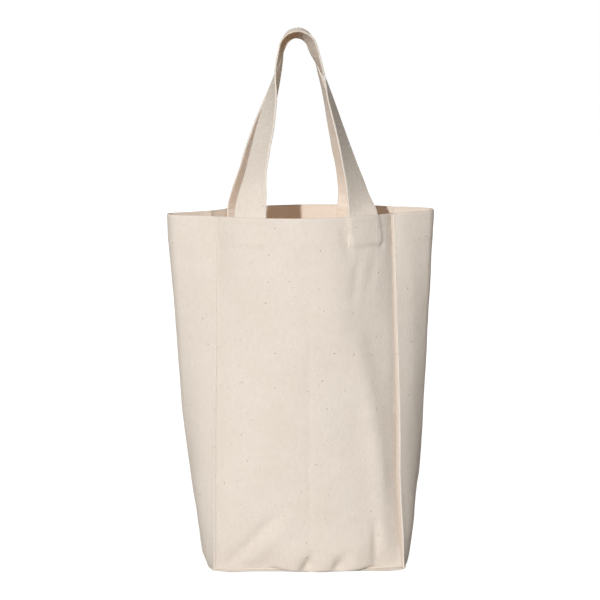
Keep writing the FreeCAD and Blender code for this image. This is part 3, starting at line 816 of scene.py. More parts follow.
strap = {
    "width": 0.032,
    "thickness": 0.0017,
    "spacing": 0.110,
    "sewn": 0.028,
    "sewnTop": 0.0015,  # where a sewn end stops below the rim
    "sewnRows": 28,
    "sewnAt": {"frontPanel": (-0.0538, 0.0530), "backPanel": (-0.0464, 0.0530)},  # across each panel's cloth
    "depth": 0.0032,  # middle of the strap below the panel's face
    "rise": 0.165,
    "gap": 0.0005,
    "leanIn": 0.018,
    "leanBend": 0.9,
    "settle": 0.05,  # height in which a strap comes from its sewn end to its own line
    "turnIn": (-0.01, 0.06),  # shares of the rise in which its turns set in
    "turnShares": (0.0, 0.1, 0.2, 0.35, 0.5, 0.65, 0.8, 0.9, 1.0),  # that turns and drifts belong to
    "gripHeights": (0.82, 0.95),  # shares of the rise in which painted shade darkens the underside of the grip
    "gripShade": (1.0, 0.0),  # how much, at the top and a little to the right of it
    "gripSpan": 0.006,
}
divider = {
    "bottom": 0.040,
    "top": 0.255,
    "rows": 60,
    "columns": 41,
    "flange": 0.009,
    "flangeColumns": 6,
    "flangeNear": 0.12,  # share of the flange at which it turns away from the panel
    "halfSpan": 0.496,  # of the way from panel to panel
    "inset": 1.6,  # behind a panel's face, and the divider's own thickness, as shares of the canvas
    "thickness": 0.9,
    "sag": 0.005,
    "sagPower": 6,
    "sway": 0.0025,
    "hemRadius": 0.0008,
    "hemRows": 4,  # round the fold, and down from it
    "hemStep": 0.002,
    "hemCut": 0.018,  # cloth that the hem takes up
}


def foldRelief(folds, x, z):
    # sum of soft folds, each along its own line and fading towards its ends
    total = np.zeros(np.broadcast(x, z).shape)
    for fold in folds:
        line = np.array(fold["line"])
        best = np.full(total.shape, 1e9)
        along = np.zeros(total.shape)
        walked = lengths(line)
        for index in range(len(line) - 1):
            start, step = line[index], line[index + 1] - line[index]
            share = ((x - start[0]) * step[0] + (z - start[1]) * step[1]) / (step @ step)
            share = np.clip(share, 0.0, 1.0)
            gap = np.hypot(x - start[0] - share * step[0], z - start[1] - share * step[1])
            nearer = gap < best
            best = np.where(nearer, gap, best)
            along = np.where(nearer, walked[index] + share * (walked[index + 1] - walked[index]), along)
        along = along / walked[-1]
        least = panelRelief["foldEnds"]
        ends = least + (1 - least) * np.sin(math.pi * np.clip(along, 0, 1))
        total += fold["height"] * ends * np.exp(-(best / fold["width"]) ** 2)
    return total


def softRelief(points, seed):
    flat = points.reshape(-1, 3)
    broad = ripple(flat, panelRelief["broadWave"], seed) * panelRelief["broad"]
    fine = ripple(flat, panelRelief["fineWave"], seed + 11.0) * panelRelief["fine"]
    return (broad + fine).reshape(points.shape[:2])


# The sag of a panel over its lip: heights up the cloth, and how far it comes out and down there.
sagLine = {
    "heights": (0.0034, 0.0048, 0.0062, 0.0076, 0.009, 0.0104, 0.012, 0.015, 0.020, 0.030, 0.045, 0.080),
    "out": (0.0010, 0.0036, 0.0052, 0.0061, 0.0064, 0.0064, 0.0061, 0.0055, 0.0044, 0.0025, 0.0010, 0.0),
    "down": (0.0007, 0.0026, 0.0040, 0.0047, 0.0049, 0.0048, 0.0045, 0.0038, 0.0028, 0.0013, 0.0004, 0.0),
}


def sagging(x, belly):
    away = np.abs(x - panelRelief["bellyMiddle"]) / panelRelief["bellyHalf"]
    return belly * (1 - ease(panelRelief["bellyFlat"], 1.0, away))


def reliefDown(relief, s, heights):
    # how far a wall sags over the lip at its foot
    drop = np.interp(heights, sagLine["heights"], sagLine["down"])
    return drop[:, None] * sagging(s * bag["baseWidth"], relief["belly"])[None, :]


def strapImprint(x, below, points, places):
    # the sewn ends of the straps show through the panel as soft-edged patches
    uneven = ripple(points.reshape(-1, 3), panelRelief["imprintWave"], 23.0).reshape(points.shape[:2])
    uneven = uneven * panelRelief["imprintWander"]
    depth, half = panelRelief["imprintDepth"], strap["width"] / 2
    (lowIn, lowOut), (sideIn, sideOut) = panelRelief["imprintLow"], panelRelief["imprintSide"]
    sewnIn = 1 - ease(depth - lowIn, depth + lowOut, below + uneven)
    total = 0.0
    for place, rise, slant in zip(places, panelRelief["strapRaise"], panelRelief["imprintSlant"]):
        fromMiddle = np.abs(x - place - slant * below) + uneven
        total += rise * sewnIn * (1 - ease(half - sideIn, half + sideOut, fromMiddle))
    return total


def reliefOut(relief, s, heights, points):
    # how far a wall stands away from its even shape
    cloth = relief["cloth"]
    x, z = (s * clothWidth[cloth])[None, :], heights[:, None]
    below = bag["height"] - z
    end = 0.5 * clothWidth[cloth] - ridge["margin"][cloth]
    raised = foldRelief(relief["folds"], x, z) + softRelief(points, relief["seed"])
    raised = raised * ease(0.0, panelRelief["seamHold"], end - np.abs(x))
    raised = raised * ease(0.0, relief["grip"], z - bag["wallStart"]) * ease(*panelRelief["rimHold"], below)
    raised += panelRelief["hemRaise"] * (1 - ease(hem["depth"], hem["depth"] + panelRelief["hemEdge"], below))
    for side, name in zip((-1, 1), relief["corners"]):
        away = end - side * x
        if cloth == "gusset":
            raised += ridge["puff"][name] * ridgeReach(z, name) * (1 - ease(0.0, ridge["puffReach"], away))
        else:
            raised -= ridge["dip"][name] * seamDepth(z) * np.exp(-away / ridge["dipReach"][name])
    if cloth == "gusset":
        return raised
    raised += np.interp(heights, sagLine["heights"], sagLine["out"])[:, None] * sagging(x, relief["belly"])
    low, high, ends = divider["bottom"], divider["top"], panelRelief["pullEnds"]
    sewn = ease(low - ends, low, z) * (1 - ease(high, high + ends, z))
    raised -= panelRelief["seamPull"] * sewn * np.exp(-np.abs(x) / panelRelief["pullReach"])
    return raised + strapImprint(x, below, points, relief["sewnAt"])


# Each wall with its two corners, its folds, and the height above its lip in which they set in.
reliefs = {
    "frontPanel": {"cloth": "panel", "corners": ("frontLeft", "frontRight"), "folds": frontFolds, "grip": 0.007,
                   "belly": panelRelief["belly"], "flare": lip["flare"], "seed": 2.0,
                   "sewnAt": strap["sewnAt"]["frontPanel"]},
    "rightGusset": {"cloth": "gusset", "corners": ("frontRight", "backRight"), "folds": rightFolds,
                    "grip": 0.012, "belly": 0.0, "flare": 0.0, "seed": 5.0},
    "backPanel": {"cloth": "panel", "corners": ("backRight", "backLeft"), "folds": backFolds, "grip": 0.012,
                  "belly": 0.4 * panelRelief["belly"], "flare": 0.0, "seed": 9.0,
                  "sewnAt": strap["sewnAt"]["backPanel"]},
    "leftGusset": {"cloth": "gusset", "corners": ("backLeft", "frontLeft"), "folds": leftFolds,
                   "grip": 0.012, "belly": 0.0, "flare": 0.0, "seed": 14.0},
}
walls = {name: wallCloth(relief) for name, relief in reliefs.items()}
wallNodes = {
    "frontPanel": ("front_panel", "front_hem", "front_left_corner_seam", "front_right_corner_seam",
                   "front_base_seam"),
    "rightGusset": ("right_gusset", "right_hem", "right_base_seam"),
    "backPanel": ("back_panel", "back_hem", "back_left_corner_seam", "back_right_corner_seam",
                  "back_base_seam"),
    "leftGusset": ("left_gusset", "left_hem", "left_base_seam"),
}
for index, (name, grid) in enumerate(walls.items()):
    piece, cut = buildWall(name, grid, 0.4 * index)  # each from its own stretch of cloth
    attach(piece, "bag")
    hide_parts(*wallNodes[name])
    print(name, "made, cut", [round(1000 * length) for length in cut], "mm")


# The base: rings inside the edge of the lip, so that it meets the walls all round.
baseCloth = {
    "rings": (1.0, 0.985, 0.95, 0.85, 0.7, 0.5, 0.3, 0.12),
    "edgeGap": 0.0001,  # between its raised edge and the lip
    "rubbed": 0.7,
    "rubbedRings": 2,
}


def buildBase():
    outline = np.concatenate([grid["points"][0, :-1, :2] for grid in walls.values()])
    count = len(outline)
    rings = []
    for index, share in enumerate(baseCloth["rings"]):
        height = bag["canvas"] - baseCloth["edgeGap"] if index == 0 else 0.0
        rings.append(np.concatenate([outline * share, np.full((count, 1), height)], axis=1))
    verts = liftCorners(np.concatenate(rings + [np.zeros((1, 3))]))
    faces = [tuple(reversed(face)) for face in gridFaces(len(rings), count, closed=True)]
    last = (len(rings) - 1) * count
    faces += [(last + (index + 1) % count, last + index, len(verts) - 1) for index in range(count)]
    wear = np.zeros(len(verts))
    wear[:baseCloth["rubbedRings"] * count] = baseCloth["rubbed"]
    piece = finishMesh("basePanel", verts, faces, verts[:, :2] + 2.0, {"rubbed": wear},
                       (canvas, canvasShadedInside), bag["canvas"])
    return piece, np.ptp(outline, axis=0), outline


basePiece, baseSize, baseOutline = buildBase()
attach(basePiece, "bag")
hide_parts("base_panel")
print("base made")


def buildDivider():
    # cloth wall between the two cells, turned along the panels where it is sewn to them
    heights = np.linspace(divider["bottom"], divider["top"], divider["rows"])
    share = np.linspace(-1.0, 1.0, divider["columns"])
    inset = divider["inset"] * bag["canvas"]
    front = onWall(walls["frontPanel"], 0.0, heights, -inset)
    back = onWall(walls["backPanel"], 0.0, heights, -inset)
    turned = np.linspace(1.0, divider["flangeNear"], divider["flangeColumns"])
    turned = divider["flange"] / bag["baseWidth"] * turned
    rows = []
    for index, height in enumerate(heights):
        left = onWall(walls["frontPanel"], turned, height, -inset)
        right = onWall(walls["backPanel"], -turned[::-1], height, -inset)
        middle = front[index] + (back[index] - front[index]) * (0.5 + divider["halfSpan"] * share[:, None])
        middle[:, 0] += divider["sway"] * np.sin(math.pi * share) * (1 - share ** 2)
        upper = (index / (len(heights) - 1)) ** divider["sagPower"]
        middle[:, 2] -= divider["sag"] * (1 - share ** 2) * upper
        rows.append(np.concatenate([left, middle, right]))
    points = np.array(rows)
    count = points.shape[1]
    inside = slice(divider["flangeColumns"] + 1, count - divider["flangeColumns"] - 1)
    radius, hemRows = divider["hemRadius"], divider["hemRows"]
    folded = [points[-1] + np.array((radius * (1 - math.cos(turn)), 0.0, radius * math.sin(turn)))
              for turn in np.linspace(0.0, math.pi, hemRows + 1)[1:]]
    folded += [points[-2 - row] + np.array((2 * radius, 0.0, 0.0)) for row in range(hemRows)]
    folded = np.array(folded)[:, inside]
    u, v = lengths(points[len(points) // 2]), lengths(points[:, count // 2])
    over = v[-1] + divider["hemStep"] * np.arange(1, len(folded) + 1)
    verts, faces, uv = hemmedCloth(points, folded, inside, u, np.concatenate([v, over]))
    piece = finishMesh("bottleDivider", verts, faces, uv + np.array((3.0, 0.0)), {}, (canvas,),
                       divider["thickness"] * bag["canvas"])
    return piece, (u[-1], v[-1] + divider["hemCut"]), points


dividerPiece, dividerCut, dividerPoints = buildDivider()
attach(dividerPiece, "bag")
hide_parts("bottle_divider")
print("divider made")


# Handles: a strap from inside the rim, up and over the arch and down to the other end.

def tableCurve(at, places, values):
    # smooth curve through a table
    places, values = np.asarray(places, float), np.asarray(values, float)
    slope = np.gradient(values, places)
    low = np.clip(np.searchsorted(places, at) - 1, 0, len(places) - 2)
    span = places[low + 1] - places[low]
    f = (at - places[low]) / span
    return ((2 * f ** 3 - 3 * f ** 2 + 1) * values[low] + (f ** 3 - 2 * f ** 2 + f) * span * slope[low]
            + (3 * f ** 2 - 2 * f ** 3) * values[low + 1] + (f ** 3 - f ** 2) * span * slope[low + 1])


def legCurve(foot, arch, tilt, leg):
    run = math.hypot(arch[0] - foot[0], arch[1] - foot[1])
    knots = np.array([foot, (foot[0], foot[1] + leg["lead"] * run),
                      (arch[0] + leg["ease"] * run * math.sin(tilt),
                       arch[1] - leg["ease"] * run * math.cos(tilt)), arch])
    far = np.linspace(0.0, 1.0, 200)[:-1, None]
    near = 1 - far
    return (near ** 3 * knots[0] + 3 * near ** 2 * far * knots[1]
            + 3 * near * far ** 2 * knots[2] + far ** 3 * knots[3])


def handleLine(grid, lie, sewnAt):
    # centre line and width direction of a strap, as seen from its own side of the bag
    section = {key: float(value[0]) for key, value in
               levelSection(np.array([bag["height"]]), "left").items()}
    footTurn = strap["spacing"] / bag["baseWidth"] * section["lean"]
    reach = section["radius"] - strap["depth"]
    footX = reach * math.sin(footTurn)
    footY = section["corner"] + section["bow"] - section["radius"] + reach * math.cos(footTurn)
    footZ = bag["height"] + strap["gap"]
    rise = bag["height"] + lie["rise"] - strap["thickness"] / 2 - footZ
    radius = lie["archRadius"]
    centre = rise - radius
    tilt = math.atan2(footX, centre) - math.asin(radius / math.hypot(footX, centre))

    angles = np.linspace(tilt, math.pi / 2, 25)
    arch = np.stack([radius * np.cos(angles), centre + radius * np.sin(angles)], axis=1)
    halves = []
    for side in ("right", "left"):
        half = np.concatenate([legCurve((footX, 0.0), arch[0], tilt, lie[side]), arch])
        turns = np.radians((math.degrees(footTurn),) + lie[side]["turns"])
        share = np.clip(half[:, 1] / rise, 0.0, 1.0)
        half[:, 0] += tableCurve(share, strap["turnShares"], lie[side]["drift"])
        turned = tableCurve(share, strap["turnShares"], turns) - footTurn
        halves.append((half, footTurn + turned * ease(*strap["turnIn"], share)))
    flat = np.concatenate([halves[0][0], halves[1][0][-2::-1] * np.array((-1.0, 1.0))])
    twist = np.concatenate([halves[0][1], halves[1][1][-2::-1]])
    x, height = flat[:, 0], np.clip(flat[:, 1], 0.0, rise)
    share = height / rise
    lean = np.arctan(strap["leanIn"] / rise * (1 + strap["leanBend"] * (1 - 2 * share)))
    inward = strap["leanIn"] * share * (1 + strap["leanBend"] * (1 - share))
    sway = lie["footShift"] * (1 - share) + lie["topShift"] * share
    forward = unit(np.gradient(flat, axis=0))
    none = np.zeros_like(x)
    up = np.stack([none, np.sin(lean), np.cos(lean)], axis=1)
    across = np.stack([none, -np.cos(lean), np.sin(lean)], axis=1)
    centres = np.stack([x + sway, inward - footY, footZ + height], axis=1)
    outward = forward[:, 1:] * np.array((1.0, 0.0, 0.0)) - forward[:, :1] * up
    wide = outward * np.cos(twist)[:, None] - across * np.sin(twist)[:, None]

    heights = np.linspace(bag["height"] - strap["sewn"], bag["height"] - strap["sewnTop"], strap["sewnRows"])
    ends = []
    for side, place in ((1, sewnAt[1]), (-1, sewnAt[0])):
        at = place / bag["baseWidth"]
        sewn = onWall(grid, at, heights, -strap["depth"])
        beside = onWall(grid, at + 0.01, heights, -strap["depth"])
        sewnWide = side * (beside - sewn) * np.array((1.0, 1.0, 0.0))
        ends.append((sewn, unit(sewnWide)))
    return centres, wide, ends


def resample(line, other, step):
    walked = lengths(line)
    count = int(round(walked[-1] / step))
    at = np.linspace(0.0, walked[-1], count + 1)
    return pointsAt(at, walked, line), unit(pointsAt(at, walked, other)), at


# The webbing's woven edge: small nubs along both sides of the strap.
webbingEdge = {
    "step": 0.00085,
    "columns": 17,
    "turns": (30.0, 60.0, 90.0, 120.0, 150.0),  # round the edge
    "band": 2.2,  # width of the rubbed edge, in halves of the thickness
    "nub": 0.00032,
    "nubPitch": 0.0034,
    "nubPhase": 1.7,  # of one side against the other
    "unevenness": 0.0004,
    "wave": 60.0,
}


def buildStrap(name, plan):
    turn, seed = plan["turn"], plan["seed"]
    centres, wide, ends = handleLine(walls[plan["wall"]], plan["lie"], strap["sewnAt"][plan["wall"]])
    spin = np.array((turn, turn, 1.0))
    rightEnd, rightWide = ends[0]
    leftEnd, leftWide = ends[1]
    centres = centres * spin
    middle = len(centres) // 2
    up = np.array((0.0, 0.0, bag["height"] + strap["gap"]))
    for end, part, place in ((rightEnd, slice(0, middle), 0), (leftEnd, slice(middle, None), -1)):
        offset = end[-1] * np.array((1.0, 1.0, 0.0)) + up - centres[place]
        fade = 1 - ease(0.0, strap["settle"], centres[part, 2] - up[2])
        centres[part] += offset * fade[:, None]
    line = np.concatenate([rightEnd, centres, leftEnd[::-1]])
    width = np.concatenate([rightWide, wide * spin, leftWide[::-1]])
    line, width, at = resample(line, width, webbingEdge["step"])
    forward = unit(np.gradient(line, axis=0))
    width = unit(width - forward * np.sum(forward * width, axis=1, keepdims=True))
    thick = np.cross(width, forward)

    half, deep = strap["width"] / 2, strap["thickness"] / 2
    across = np.linspace(-1.0, 1.0, webbingEdge["columns"])
    rounded = np.radians(webbingEdge["turns"])
    profile = [(share * (half - deep), -deep) for share in across]
    profile += [(half - deep + deep * math.sin(angle), -deep * math.cos(angle)) for angle in rounded]
    profile += [(share * (half - deep), deep) for share in across[::-1]]
    profile += [(-(half - deep) - deep * math.sin(angle), deep * math.cos(angle)) for angle in rounded]
    profile = np.array(profile)
    count = len(profile)
    band = webbingEdge["band"] * deep
    edge = np.clip((np.abs(profile[:, 0]) - (half - band)) / band, 0.0, 1.0) ** 2
    side = np.sign(profile[:, 0])

    sway = ripple(line, webbingEdge["wave"], seed) * webbingEdge["unevenness"]
    verts = []
    for index in range(len(line)):
        phase = 2 * math.pi * at[index] / webbingEdge["nubPitch"]
        nub = webbingEdge["nub"] * (0.5 + 0.5 * np.sin(phase + webbingEdge["nubPhase"] * (side > 0)))
        reach = profile[:, 0] + side * edge * (nub - 0.5 * webbingEdge["nub"])
        verts.append(line[index] + reach[:, None] * width[index]
                     + (profile[:, 1] + sway[index] * (1 - edge))[:, None] * thick[index])
    verts = np.array(verts)
    faces = gridFaces(len(line), count, closed=True)
    faces.append(tuple(reversed(range(count))))
    faces.append(tuple(range((len(line) - 1) * count, len(line) * count)))
    around = lengths(np.concatenate([profile, profile[:1]]))[:-1]
    uv = np.stack(np.meshgrid(around, at), axis=2).reshape(-1, 2) + np.array((seed, 0.0))
    wear = np.tile(edge, len(line))
    # painted shade under the grip, darkest at its top and gone a little to the right of it
    grip = ease(*strap["gripHeights"], (line[:, 2] - bag["height"]) / strap["rise"])
    top = line[np.argmax(line[:, 2]), 0]
    grip = grip * np.interp(line[:, 0] - top, (0.0, strap["gripSpan"]), strap["gripShade"])
    gripUnderShade = np.outer(grip, profile[:, 1] < 0).ravel()
    piece = finishMesh(name, verts.reshape(-1, 3), faces, uv, {"rubbed": wear, "inside": gripUnderShade}, (webbing,))
    return piece, at[-1]


# How each handle lies, seen from its own side of the bag: its shift to the right at foot and top, and for each
# leg how far it comes up straight, how far it eases into the arch, its turns in degrees (90 is edge-on) and
# how far it drifts away from the bag's middle.
handlePlans = {
    "frontHandle": {
        "wall": "frontPanel", "turn": 1.0, "body": "front_handle", "seed": 4.0,
        "nodes": ("front_handle_strap", "front_left_strap_end", "front_right_strap_end"),
        "lie": {
            "footShift": 0.0012, "topShift": -0.0042, "archRadius": 0.0138, "rise": 0.1658,
            "right": {"lead": 0.202, "ease": 0.05,
                      "turns": (44.5, 54.5, 65.4, 72.6, 77.8, 90.0, 100.0, 102.5),
                      "drift": (0.0, -0.0012, -0.0009, -0.0008, -0.0004, 0.0003, 0.0015, 0.0003, 0.0)},
            "left": {"lead": 0.113, "ease": 0.207,
                     "turns": (36.1, 51.1, 59.8, 64.1, 76.0, 94.6, 100.0, 102.5),
                     "drift": (0.0, 0.0, 0.0, 0.0, 0.0, 0.0002, 0.0015, 0.0010, 0.0)}},
    },
    "backHandle": {
        "wall": "backPanel", "turn": -1.0, "body": "back_handle", "seed": 6.0,
        "nodes": ("back_handle_strap", "back_left_strap_end", "back_right_strap_end"),
        "lie": {
            "footShift": 0.0010, "topShift": 0.0004, "archRadius": 0.0130, "rise": 0.165,
            "right": {"lead": 0.189, "ease": 0.163,
                      "turns": (37.3, 44.9, 49.6, 56.9, 67.3, 79.5, 87.0, 101.0),
                      "drift": (0.0, 0.0, -0.0004, -0.0008, -0.0011, -0.0019, -0.0017, -0.0005, 0.0)},
            "left": {"lead": 0.086, "ease": 0.694,
                     "turns": (47.8, 59.6, 67.0, 75.3, 84.4, 90.5, 96.4, 103.0),
                     "drift": (0.0, 0.0, 0.0004, 0.0008, 0.0011, 0.0011, 0.0003, 0.0, 0.0)}},
    },
}
for name, plan in handlePlans.items():
    piece, length = buildStrap(name, plan)
    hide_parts(*plan["nodes"])
    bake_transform(piece)
    print(name, "made,", round(1000 * length), "mm long")


# Sewing: rows of stitches along the seams, hems and strap ends.
sewing = {
    "pitch": 0.0028,
    "length": 0.0022,
    "thread": 0.00042,
    "unevenness": 0.12,
    "proud": 0.00005,
    "seed": 7,
    "hemLine": 0.0235,  # below the rim
    "hemSteps": 80,  # points along a hem, along the divider and along a side of a box
    "dividerSteps": 90,
    "boxSteps": 12,
    "boxHalf": 0.0125,
    "boxLow": 0.0245,
    "boxHigh": 0.0045,
    "colour": (0.850, 0.785, 0.710, 1.0),
    "shade": (0.720, 0.635, 0.545, 1.0),
    "fibreScale": 2400.0,
    "roughness": 0.75,
    "sheen": 0.1,
    "bump": 0.4,
    "bumpDepth": 0.0001,
}


def makeThread():
    material, tree, surface = newMaterial("sewingThread", {"Roughness": sewing["roughness"],
                                                           "Sheen Weight": sewing["sheen"]})
    fibre = softNoise(tree, addNode(tree, "ShaderNodeTexCoord").outputs["Object"], sewing["fibreScale"])
    tree.links.new(blendColour(tree, fibre, sewing["colour"], sewing["shade"]), surface["Base Color"])
    addBump(tree, surface, fibre, sewing["bump"], sewing["bumpDepth"])
    return material


def stitchRun(points, normals):
    # even stitches along a line: their middles, their directions and the way they face
    walked = lengths(points)
    count = max(int(walked[-1] / sewing["pitch"]), 1)
    at = (np.arange(count) + 0.5) * walked[-1] / count
    return [pointsAt(at, walked, values) for values in (points, np.gradient(points, axis=0), normals)]


def wallLine(grid, s, z, lift):
    # a line on a wall and the way it faces, which is inwards where it lies behind the wall
    s, z = np.broadcast_arrays(np.asarray(s, float), np.asarray(z, float))
    points = onWall(grid, s, z, lift)
    return points, np.sign(lift) * (onWall(grid, s, z, 0.001) - onWall(grid, s, z, 0.0)) / 0.001


def boxLine(middle):
    # rectangle of stitches that holds a strap end, as shares across the cloth and heights
    left, right = middle - sewing["boxHalf"], middle + sewing["boxHalf"]
    low, high = bag["height"] - sewing["boxLow"], bag["height"] - sewing["boxHigh"]
    ends = np.array([(left, high), (left, low), (right, low), (right, high), (left, high)])
    sides = [np.linspace(a, b, sewing["boxSteps"])[:-1] for a, b in zip(ends[:-1], ends[1:])]
    line = np.concatenate(sides + [ends[-1:]])
    return line[:, 0] / bag["baseWidth"], line[:, 1]


def seamLines():
    # every line of stitches, with the way it faces
    lines = []
    outer, inner = sewing["proud"], -2 * hem["foldRadius"] - sewing["proud"]
    underStrap = -strap["depth"] - strap["thickness"] / 2 - sewing["proud"]
    flank = ridge["crestColumns"]
    for name, grid in walls.items():
        wall = grid["points"][grid["lipRows"]:]
        facing = surfaceNormals(wall)
        for column in (flank, -flank - 1):
            lines.append((wall[:, column], facing[:, column]))
        s = np.linspace(grid["s"][1], grid["s"][-2], sewing["hemSteps"])
        for lift in (outer, inner):
            lines.append(wallLine(grid, s, bag["height"] - sewing["hemLine"], lift))
        if grid["cloth"] == "gusset":
            continue
        foot = grid["points"][len(lip["turns"]), grid["inside"]]  # the flat of the lip
        lines.append((foot, np.broadcast_to(np.array((0.0, 0.0, 1.0)), foot.shape)))
        z = np.linspace(divider["bottom"], divider["top"], sewing["dividerSteps"])
        lines.append(wallLine(grid, 0.0, z, outer))
        for place in strap["sewnAt"][name]:
            lines += [wallLine(grid, *boxLine(place), lift) for lift in (outer, underStrap)]
    ends = divider["flangeColumns"] + 2
    top = dividerPoints[-divider["hemRows"], ends:-ends]
    for side, depth in ((-1.0, 0.0), (1.0, 2 * divider["hemRadius"])):
        facing = np.broadcast_to(np.array((side, 0.0, 0.0)), top.shape)
        lines.append((top + facing * depth, facing))
    return lines


def makeStitchTree():
    # sets one small spindle of thread on every point, turned along its seam
    tree = bpy.data.node_groups.new("stitchRows", "GeometryNodeTree")
    for label, kind in (("Geometry", "Geometry"), ("Length", "Float"), ("Thread", "Float"),
                        ("Unevenness", "Float"), ("Seed", "Int"), ("Material", "Material")):
        tree.interface.new_socket(name=label, in_out="INPUT", socket_type="NodeSocket" + kind)
    tree.interface.new_socket(name="Geometry", in_out="OUTPUT", socket_type="NodeSocketGeometry")
    given = addNode(tree, "NodeGroupInput").outputs

    turn = {}
    for axis, pivot, label in (("Z", "AUTO", "along"), ("X", "Z", "outward")):
        way = addNode(tree, "GeometryNodeInputNamedAttribute", {"Name": label}, data_type="FLOAT_VECTOR")
        align = addNode(tree, "FunctionNodeAlignRotationToVector", turn | {"Vector": way.outputs["Attribute"]},
                        axis=axis, pivot_axis=pivot)
        turn = {"Rotation": align.outputs["Rotation"]}
    spread = addNode(tree, "FunctionNodeRandomValue", {"Seed": given["Seed"]}, data_type="FLOAT")
    low, high = (socket for socket in spread.inputs if socket.type == "VALUE" and socket.enabled)
    feed(tree, low, calc(tree, "SUBTRACT", 1.0, given["Unevenness"]))
    feed(tree, high, calc(tree, "ADD", 1.0, given["Unevenness"]))
    drawn = [socket for socket in spread.outputs if socket.enabled][0]
    size = addNode(tree, "ShaderNodeCombineXYZ", {
        "X": given["Thread"], "Y": given["Thread"], "Z": calc(tree, "MULTIPLY", given["Length"], drawn)})
    spindle = addNode(tree, "GeometryNodeMeshUVSphere", {"Segments": 6, "Rings": 5, "Radius": 0.5})
    placed = addNode(tree, "GeometryNodeInstanceOnPoints", turn | {
        "Points": given["Geometry"], "Instance": spindle.outputs["Mesh"], "Scale": size.outputs[0]})
    solid = addNode(tree, "GeometryNodeRealizeInstances", {"Geometry": placed.outputs[0]})
    painted = addNode(tree, "GeometryNodeSetMaterial", {"Geometry": solid.outputs[0],
                                                        "Material": given["Material"]})
    addNode(tree, "NodeGroupOutput", {"Geometry": painted.outputs[0]})
    return tree


def buildStitches():
    runs = [stitchRun(*line) for line in seamLines()]
    middles, along, outward = (np.concatenate(parts) for parts in zip(*runs))
    mesh = bpy.data.meshes.new("sewingThread")
    mesh.from_pydata(middles.tolist(), [], [])
    for label, values in (("along", along), ("outward", outward)):
        mesh.attributes.new(label, "FLOAT_VECTOR", "POINT").data.foreach_set("vector", unit(values).ravel())
    piece = addObject("sewingThread", mesh)
    modifier = piece.modifiers.new("stitches", "NODES")
    modifier.node_group = makeStitchTree()
    settings = {"Length": sewing["length"], "Thread": sewing["thread"], "Unevenness": sewing["unevenness"],
                "Seed": sewing["seed"], "Material": makeThread()}
    for item in modifier.node_group.interface.items_tree:
        if item.in_out == "INPUT" and item.name in settings:
            modifier[item.identifier] = settings[item.name]
    applyModifiers(piece)
    piece.data.shade_smooth()
    return piece, len(middles)


threadPiece, stitchCount = buildStitches()
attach(threadPiece, "bag")
print("sewing made,", stitchCount, "stitches")


# Stage: pale floor, soft light and the camera.
stage = {
    "floor": 4.0,
    "floorLevel": -0.0002,
    "floorColour": (0.43, 0.42, 0.405, 1.0),
    "floorGlow": 0.91,
    "ambient": 0.265,
    "ambientColour": (1.0, 0.975, 0.935, 1.0),
    "suns": {"key": {"strength": 2.49, "turn": -19.8, "height": 16.5, "spread": 1.8},
             "behind": {"strength": 0.9, "turn": 184.0, "height": 24.0, "spread": 50.0}},
    "fillPower": 3.5,
    "fillPlace": (0.9, -2.3, 0.3),
    "fillAim": (0.0, 0.0, 0.2),
    "fillSize": 1.4,
    "throughPower": 0.016,  # sunlight that comes through the cloth and warms the inside
    "throughColour": (1.0, 0.46, 0.14),
    "throughSize": 0.09,
    "throughAbove": 0.01,  # the divider
}
view = {"place": (-0.1554, -2.4682, 0.6127), "lens": 160.67, "sensor": 36.0,
        "down": 8.42, "turn": -3.55, "roll": -0.56}


def whiteForCamera(tree, output, plain, white):
    # what the camera, gloss and glass see is white; everything else gets the plain light
    path = addNode(tree, "ShaderNodeLightPath").outputs
    seen = calc(tree, "MAXIMUM", path["Is Camera Ray"], path["Is Glossy Ray"])
    seen = calc(tree, "MAXIMUM", seen, path["Is Transmission Ray"])
    mixed = addNode(tree, "ShaderNodeMixShader", {0: seen, 1: plain.outputs[0], 2: white.outputs[0]})
    addNode(tree, output, {"Surface": mixed.outputs[0]})


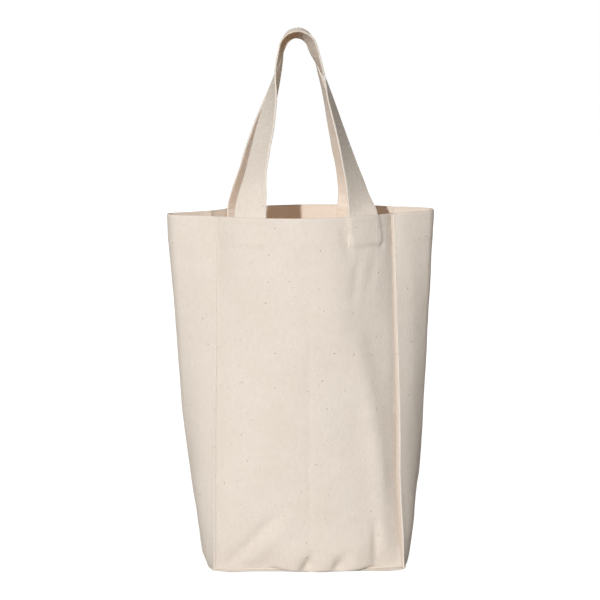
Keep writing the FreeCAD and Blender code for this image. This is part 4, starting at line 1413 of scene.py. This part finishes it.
def makeFloor():
    material = bpy.data.materials.new("paleFloor")
    material.use_nodes = True
    tree = material.node_tree
    tree.nodes.clear()
    plain = addNode(tree, "ShaderNodeBsdfDiffuse", {"Color": stage["floorColour"]})
    glow = addNode(tree, "ShaderNodeEmission", {"Strength": stage["floorGlow"]})
    white = addNode(tree, "ShaderNodeAddShader", {0: plain.outputs[0], 1: glow.outputs[0]})
    whiteForCamera(tree, "ShaderNodeOutputMaterial", plain, white)
    size, level = stage["floor"], stage["floorLevel"]
    ends = [(-size, -size, level), (size, -size, level), (size, size, level), (-size, size, level)]
    mesh = bpy.data.meshes.new("floor")
    mesh.from_pydata(ends, [], [(0, 1, 2, 3)])
    mesh.materials.append(material)
    floor = addObject("floor", mesh)


def makeWorld():
    world = bpy.data.worlds.new("studio")
    bpy.context.scene.world = world
    world.use_nodes = True
    tree = world.node_tree
    tree.nodes.clear()
    plain = addNode(tree, "ShaderNodeBackground", {"Strength": stage["ambient"],
                                                   "Color": stage["ambientColour"]})
    white = addNode(tree, "ShaderNodeBackground", {"Color": (1.0, 1.0, 1.0, 1.0)})
    whiteForCamera(tree, "ShaderNodeOutputWorld", plain, white)


def addLight(name, kind, strength):
    light = bpy.data.lights.new(name, kind)
    light.energy = strength
    return addObject(name, light)


def makeLights():
    for name, sun in stage["suns"].items():
        lamp = addLight(name, "SUN", sun["strength"])
        lamp.data.angle = math.radians(sun["spread"])
        lamp.rotation_euler = (math.radians(90.0 - sun["height"]), 0.0, math.radians(sun["turn"]))
    fill = addLight("fill", "AREA", stage["fillPower"])
    fill.data.size = stage["fillSize"]
    fill.location = stage["fillPlace"]
    aim = Vector(stage["fillAim"]) - fill.location
    fill.rotation_euler = aim.to_track_quat("-Z", "Y").to_euler()
    through = addLight("throughCloth", "AREA", stage["throughPower"])
    through.data.size = stage["throughSize"]
    through.data.color = stage["throughColour"]
    through.location = (0.0, 0.0, divider["top"] + stage["throughAbove"])
    through.rotation_euler = (math.pi, 0.0, 0.0)


def makeCamera():
    camera = addObject("camera", bpy.data.cameras.new("camera"))
    camera.data.lens = view["lens"]
    camera.data.sensor_width = view["sensor"]
    camera.matrix_world = (Matrix.Translation(view["place"])
                           @ Matrix.Rotation(math.radians(view["turn"]), 4, "Z")
                           @ Matrix.Rotation(math.radians(90.0 - view["down"]), 4, "X")
                           @ Matrix.Rotation(math.radians(view["roll"]), 4, "Z"))
    bpy.context.scene.camera = camera


makeFloor()
makeWorld()
makeLights()
makeCamera()
bpy.context.scene.view_settings.view_transform = "Standard"
print("stage set")
